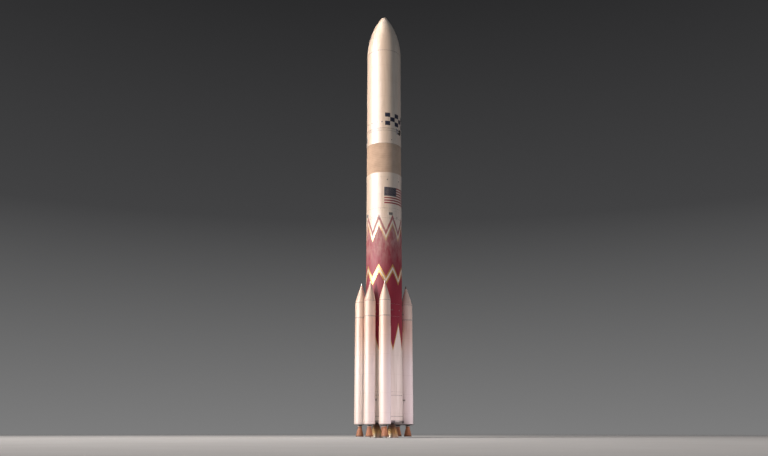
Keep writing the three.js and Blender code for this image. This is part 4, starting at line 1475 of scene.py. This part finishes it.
def core_covers():
    covers, vents, spots = Form(), Form(), []
    for degrees, height, width, tall, finish in COVERS:
        azimuth = math.radians(degrees)
        curved_plate(covers, azimuth, height, (width, tall), finish)
        spots += spots_round_plate(azimuth, height, (width, tall), CORE + 0.008)
        if finish == "aluminium" and width > WIDE:
            for u, v in itertools.product((-0.14, 0.0, 0.14), (-0.09, 0.09)):
                port = outwards(azimuth + u / CORE, height + v)
                turned_ring(vents, 0.02, 0.036, 0, 0.03, "cast_alloy", 24, port, 0.003)
                disc(vents, 0.022, 0, 0.018, "sealant", 24, port)
    for height, azimuths in VENTS:
        for degrees in azimuths:
            round_vent(vents, math.radians(degrees), height, 0.05)
    piece("core_covers", covers, "root", "white_paint")
    piece("core_vents_and_ports", vents, "root", "bare_metal")
    for height, count, around in JOINT_FASTENERS:
        spots += ring_of_spots(count, around, height)
    fasteners("core_fasteners", spots, "root", 0.008, 0.009, "white_paint")
    spots = [spot for height in INTERTANK_JOINTS for spot in ring_of_spots(120, CORE, height)]
    fasteners("intertank_fasteners", spots, "root", 0.008, 0.009, "red_paint")


core_covers()


def payload_adapter():
    """The ribbed cone that carries the payload's ring."""
    low, high = span("payload_adapter")
    base, top, ring, flange, well, ease, ribs = 0.85, 0.39375, 0.06, 0.04, 0.356, 0.004, 24
    profile = [
        (0, low), (base - ease, low), (base, low + ease), (base, low + flange * 0.6),
        (base - 0.05, low + flange), (top, high - ring), (top + ease, high - ring + ease),
        (top + ease, high - ease), (top, high), (well + ease, high), (well, high - ease), (well, high - 0.2),
        (0, high - 0.2),
    ]
    form = Form()
    wrapped(form, profile, "aluminium", 96)
    foot, head = low + 0.034, high - ring - 0.002
    web = [(base - 0.06, foot), (base - 0.012, foot), (top + ease, head), (top - 0.01, head)]
    for angle in evenly(0, TURN, ribs)[:-1]:
        place = about_z(angle) @ axes(AXIS_X, AXIS_Z, -AXIS_Y)
        slab(form, web, -0.005, 0.005, "aluminium", place)
    piece("payload_adapter_cone", form, "root", "bare_metal", "payload_adapter")
    spots = ring_of_spots(48, base - 0.024, low + 0.03, faced=AXIS_Z)
    spots += ring_of_spots(36, top + ease, high - ring / 2)
    fasteners("payload_adapter_fasteners", spots, "root", 0.007, 0.008)


payload_adapter()

# Sizes of the fairing. The nose is a tangent ogive that ends in a round tip.
FAIRING_LOW, FAIRING_HIGH = span("fairing_half_front")
OGIVE = 3.85
TIP = 0.3
FAIRING_WALL = 0.03
SPLIT = 0.0025
HINGE_Y = CORE + 0.045
HINGE_Z = FAIRING_LOW + 0.03
EYES = (-0.175, 0.175)


def nose_outline(radius, length, tip, steps):
    """[radius, height] pairs of the nose above its base, up to the axis."""
    arc = (radius ** 2 + length ** 2) / (2 * radius)
    centre = math.sqrt((arc - tip) ** 2 - (arc - radius) ** 2)
    meet_radius = tip * (arc - radius) / (arc - tip)
    meet = centre + math.sqrt(tip ** 2 - meet_radius ** 2)
    ogive = [(math.sqrt(arc ** 2 - z ** 2) + radius - arc, z) for z in evenly(0, meet, steps)[:-1]]
    angles = evenly(math.asin(meet_radius / tip), 0, steps // 3)
    return ogive + [(tip * math.sin(a), centre + tip * math.cos(a)) for a in angles]


NOSE = nose_outline(CORE, OGIVE, TIP, 24)
OGIVE_BASE = FAIRING_HIGH - NOSE[-1][1]
INNER_NOSE = [
    (max(r - FAIRING_WALL, 0), OGIVE_BASE + h - (FAIRING_WALL if r < FAIRING_WALL else 0)) for r, h in NOSE
]

# A navy check on the front half. Its sides lie on columns of the shell.
CHECK_LOW = FAIRING_LOW + 0.34
CHECK_TALL = 0.35
CHECK_ROWS = 3
CHECK_START = math.radians(217.5)
CHECK_WIDTH = math.radians(17.5)
CHECK_COUNT = 6


def fairing_shell(side, end, start):
    """One half of the fairing: the painted shell with the ears of its hinge."""
    low = FAIRING_LOW
    outer = [(CORE - 0.004, low), (CORE, low + 0.004)]
    finishes = ["white_paint", "white_paint"]
    checks = evenly(CHECK_LOW, CHECK_LOW + CHECK_TALL * CHECK_ROWS, CHECK_ROWS)
    # Shallow grooves mark the base ring and the joint between the cylinder and the ogive.
    for groove in (low + 0.09, OGIVE_BASE - 0.02):
        outer += stepped(CORE, groove, groove + 0.016, -0.005, 0.003)
        finishes += sealed("white_paint")
        if groove < checks[0]:
            first = len(finishes)
            outer += [(CORE, z) for z in checks]
            finishes += ["white_paint"] * len(checks)
    outer += [(r, OGIVE_BASE + h) for r, h in NOSE]
    finishes += ["white_paint"] * (len(NOSE) - 1)
    inner = [(r - FAIRING_WALL, z) for r, z in outer[:-len(NOSE)]] + INNER_NOSE
    inner[0] = (CORE - FAIRING_WALL, low)
    loop = outer + inner[::-1]
    finishes += ["liner_cloth"] * (len(loop) - len(finishes) - 1) + ["aluminium"]

    def checked(azimuth):
        dress = list(finishes)
        square = (azimuth - CHECK_START) / CHECK_WIDTH
        if 0 < square < CHECK_COUNT:
            for row in range(CHECK_ROWS):
                if (int(square) + row) % 2 == 0:
                    dress[first + row] = "navy_paint"
        return dress

    form = Form()
    wrapped(form, loop, checked, COLUMNS // 2, start, start + TURN / 2, True)
    # Moves the split edges off the middle plane and leaves the outermost points in place.
    for point in form.points:
        point.y = side * SPLIT + point.y * (1 - SPLIT / CORE)
    # Ears of the hinge: the local Z axis runs along the pin, and X away from the rocket.
    to_pin = Matrix.Translation((0, side * HINGE_Y, HINGE_Z)) @ axes(side * AXIS_Y, AXIS_Z, AXIS_X)
    web = [(0.03, 0.011), (0.012, 0.07), (-0.02, 0.132), (-0.036, 0.15), (-0.068, 0.15), (-0.068, -0.024)]
    for eye in EYES:
        for near in (eye - 0.055, eye + 0.03):
            lug(form, web, near, near + 0.025, 0.018, 0.03, to_pin)
    piece(f"fairing_shell_{end}", form, f"fairing_{end}", "white_paint", f"fairing_half_{end}")


def fairing_frame(side, end, start):
    """Frames inside one half: a ring at its base, two hoops and a rail along each split edge."""
    form = Form()
    wall, margin = CORE - FAIRING_WALL, 0.012
    # The base ring and two hoops: foot, height and depth.
    for low, tall, deep in ((FAIRING_LOW + 0.004, 0.07, 0.045), (25.2, 0.04, 0.03), (OGIVE_BASE, 0.04, 0.03)):
        high, near, far = low + tall, wall - deep, wall + 0.004
        loop = [(near, low), (far, low), (far, high), (near, high)]
        wrapped(form, loop, "aluminium", 60, start + margin, start + TURN / 2 - margin, True)
    path = [(wall, FAIRING_LOW + 0.008), *INNER_NOSE[:-3]]
    edge, back = side * 0.006, side * 0.05
    for hand in (-1, 1):
        rings = []
        for r, z in path:
            near, far = hand * (r + 0.003), hand * (r - 0.035)
            rings.append([(near, edge, z), (near, back, z), (far, back, z), (far, edge, z)])
        skinned(form, rings, "aluminium")
    piece(f"fairing_frame_{end}", form, f"fairing_{end}", "bare_metal")


def fairing_liner(side, end):
    """Soft acoustic pads inside one half, between its frames."""
    name = f"fairing_liner_{end}"
    radius, columns, edge, pitch = CORE - FAIRING_WALL - 0.038, 7, 0.08, 0.6
    spots = []
    # The lowest row and the number of rows, under the lower hoop and over it.
    for lowest, rows in ((22.62, 4), (25.55, 6)):
        heights = [lowest + pitch * row for row in range(rows)]
        for height, azimuth in itertools.product(heights, middles(edge, TURN / 2 - edge, columns)):
            spot, outward = outward_spot(radius, side * azimuth, height)
            spots.append((spot, -outward))
    pads = grown(
        name, "pads", spots, f"fairing_{end}", "blanket", smooth=True,
        Size=(0.5, 0.56, 0.036), Finish=FINISHES["liner_cloth"],
    )


FAIRING_DOORS = {
    "front": [(200, 24.15, 0.5, 0.62), (312, 24.9, 0.42, 0.42)],
    "rear": [(30, 24.15, 0.5, 0.62), (128, 24.9, 0.42, 0.42)],
}
FAIRING_VENTS = {"front": (190, 207, 333, 350), "rear": (10, 27, 153, 170)}


def fairing_fittings(end, start):
    """Doors and vents outside one half, with their fasteners."""
    form, spots = Form(), []
    for degrees, height, width, tall in FAIRING_DOORS[end]:
        azimuth = math.radians(degrees)
        curved_plate(form, azimuth, height, (width, tall), "white_paint", 0.006)
        spots += spots_round_plate(azimuth, height, (width, tall), CORE + 0.006)
    for degrees in FAIRING_VENTS[end]:
        round_vent(form, math.radians(degrees), FAIRING_LOW + 0.62, 0.055)
    spots += ring_of_spots(56, CORE, FAIRING_LOW + 0.05, start, start + TURN / 2)
    piece(f"fairing_doors_{end}", form, f"fairing_{end}", "white_paint")
    fasteners(f"fairing_fasteners_{end}", spots, f"fairing_{end}", 0.007, 0.007)


for side, end, start in ((-1, "front", TURN / 2), (1, "rear", 0.0)):
    fairing_shell(side, end, start)
    fairing_frame(side, end, start)
    fairing_liner(side, end)
    fairing_fittings(end, start)

# CAD nodes whose shape stands take a finish.
for node, finish in (
    ("base_heat_shield", "blanket"),
    ("thrust_beam", "cast_alloy"),
    ("fairing_hinge_front", "cast_alloy"),
    ("fairing_hinge_rear", "cast_alloy"),
    ("front_engine_gimbal", "aluminium"),
    ("rear_engine_gimbal", "aluminium"),
):
    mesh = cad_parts[node].data
    mesh.materials.clear()
    mesh.materials.append(FINISHES[finish])

# Camera, light and floor. The camera stands at floor level, looks up and fills its height with the rocket.
FLOOR = CAD_BOUNDS[0].z - 0.004
CAMERA_DISTANCE = 55.0
CAMERA_HEIGHT = 0.4
MARGIN = math.radians(1.3)
IMAGE_RATIO = 456 / 768

spot = outward_spot(CAMERA_DISTANCE, CAMERA_AZIMUTH, FLOOR + CAMERA_HEIGHT)[0]
lowest = math.atan((CAD_BOUNDS[0].z - spot.z) / CAMERA_DISTANCE)
highest = math.atan((CAD_BOUNDS[1].z - spot.z) / CAMERA_DISTANCE)
pitch = (lowest + highest) / 2
camera_data = bpy.data.cameras.new("camera")
camera_data.sensor_width = 36.0
camera_data.lens = 18.0 * IMAGE_RATIO / math.tan((highest - lowest) / 2 + MARGIN)
camera_data.clip_end = 2000.0
camera = shown_as("camera", camera_data)
camera.location = spot
camera.rotation_euler = Euler((math.pi / 2 + pitch, 0, CAMERA_AZIMUTH + math.pi / 2))
bpy.context.scene.camera = camera

# Painted concrete: pale and matt. It fades into the wall far from the rocket, and is open from below.
FLOOR_RADIUS = 80.0


def studio_floor():
    material, tree, shader, place = new_material("painted_concrete")
    mottled = add(tree, "ShaderNodeTexNoise", {"Vector": place, "Scale": 0.35, "Detail": 6.0})
    tone = add(
        tree, "ShaderNodeMix", {0: mottled, 6: colour("#e0e6ec"), 7: colour("#d2d7dc")}, data_type="RGBA"
    )
    far = add(tree, "ShaderNodeVectorMath", {0: place}, operation="LENGTH").outputs["Value"]
    grain = add(tree, "ShaderNodeTexNoise", {"Vector": place, "Scale": 30.0, "Detail": 3.0})
    dim = {"Specular IOR Level": 0.1}
    surface(tree, shader, tone.outputs[2], grain, (0.2, 0.004), mottled, (0.85, 0.95), **dim)
    fade = add(
        tree, "ShaderNodeMapRange", {"Value": far, "From Min": 38.0, "From Max": 79.0},
        interpolation_type="SMOOTHSTEP",
    )
    under = add(tree, "ShaderNodeNewGeometry").outputs["Backfacing"]
    open_share = add(tree, "ShaderNodeMath", {0: fade, 1: under}, operation="MAXIMUM")
    clear = add(tree, "ShaderNodeBsdfTransparent")
    mixed = add(tree, "ShaderNodeMixShader", {0: open_share, 1: shader, 2: clear})
    wire(tree, tree.nodes["Material Output"], {"Surface": mixed})
    sides = 64
    corners = [outward_spot(FLOOR_RADIUS, angle, FLOOR)[0] for angle in evenly(0, TURN, sides)[:-1]]
    mesh = mesh_of("floor", corners, faces=[list(range(sides))])
    mesh.materials.append(material)
    shown = shown_as("floor", mesh)
    return shown


# Lights that are flagged off the floor take the first collection. One for the floor alone takes the other.
floor = studio_floor()
flagged = bpy.data.collections.new("flagged_off_the_floor")
floor_only = bpy.data.collections.new("floor_only")
for collection, state in ((flagged, "EXCLUDE"), (floor_only, "INCLUDE")):
    collection.objects.link(floor)
    for item in collection.collection_objects:
        item.light_linking.link_state = state

LIGHTS = [
    # name, degrees right of the camera, distance, height of the middle, degrees that it tilts down, width,
    # height, watts, colour, what it reaches, and whether it lights as well as reflects
    ("key", -60, 48, 35, 0, 10, 58, 32000, "#ffdcc0", flagged, True),
    ("gloss_card", -59, 47, 30, 0, 57, 64, 86000, "#f2f5ff", flagged, False),
    ("nose_card", -66, 30, 75, 56, 46, 50, 46000, "#fff0dc", flagged, False),
    ("fill", 40, 70, 25, 0, 40, 40, 200, "#f2ecf0", flagged, True),
    ("low_fill", 34, 14, 1, 24, 12, 4, 640, "#fbdbe2", flagged, True),
    ("side_fill", 88, 12, 2, 20, 5, 8, 320, "#ffebee", flagged, True),
    ("rim", 118, 46, 24, 0, 10, 48, 700, "#ffc8b4", flagged, True),
    ("top", 0, 0, 72, 90, 18, 18, 1500, "#ffffff", flagged, True),
    ("over", -60, 28, 68, 66, 18, 18, 40000, "#fff1e6", floor_only, True),
]
for name, turn, distance, height, tilt, width, tall, watts, tint, reached, lights in LIGHTS:
    lamp = bpy.data.lights.new(name, "AREA")
    lamp.shape = "RECTANGLE"
    lamp.size, lamp.size_y = width, tall
    lamp.energy = watts
    lamp.color = colour(tint)[:3]
    azimuth = CAMERA_AZIMUTH + math.radians(turn)
    lit = shown_as(name, lamp)
    lit.location = outward_spot(distance, azimuth, height)[0]
    lit.rotation_euler = Euler((math.pi / 2 - math.radians(tilt), 0, azimuth + math.pi / 2))
    lit.visible_camera = False
    lit.visible_diffuse = lights
    lit.light_linking.receiver_collection = reached

# A studio wall that is palest at the horizon, and darker above and below it.
world = bpy.data.worlds.new("studio")
world.use_nodes = True
sky = world.node_tree
up = add(sky, "ShaderNodeSeparateXYZ", {0: add(sky, "ShaderNodeTexCoord").outputs["Generated"]}).outputs["Z"]
rising = add(sky, "ShaderNodeMapRange", {"Value": up, "From Min": -0.55, "From Max": 0.55})
shade = add(sky, "ShaderNodeValToRGB", {"Fac": rising})
tinted(shade.color_ramp, ("#29292a", "#29292a"), {0.3: "#3a3a3b", 0.5: "#7c7c7c", 0.75: "#424243"})
wire(sky, sky.nodes["Background"], {"Color": shade.outputs["Color"], "Strength": 1.0})
bpy.context.scene.world = world
bpy.context.scene.view_settings.view_transform = "Standard"
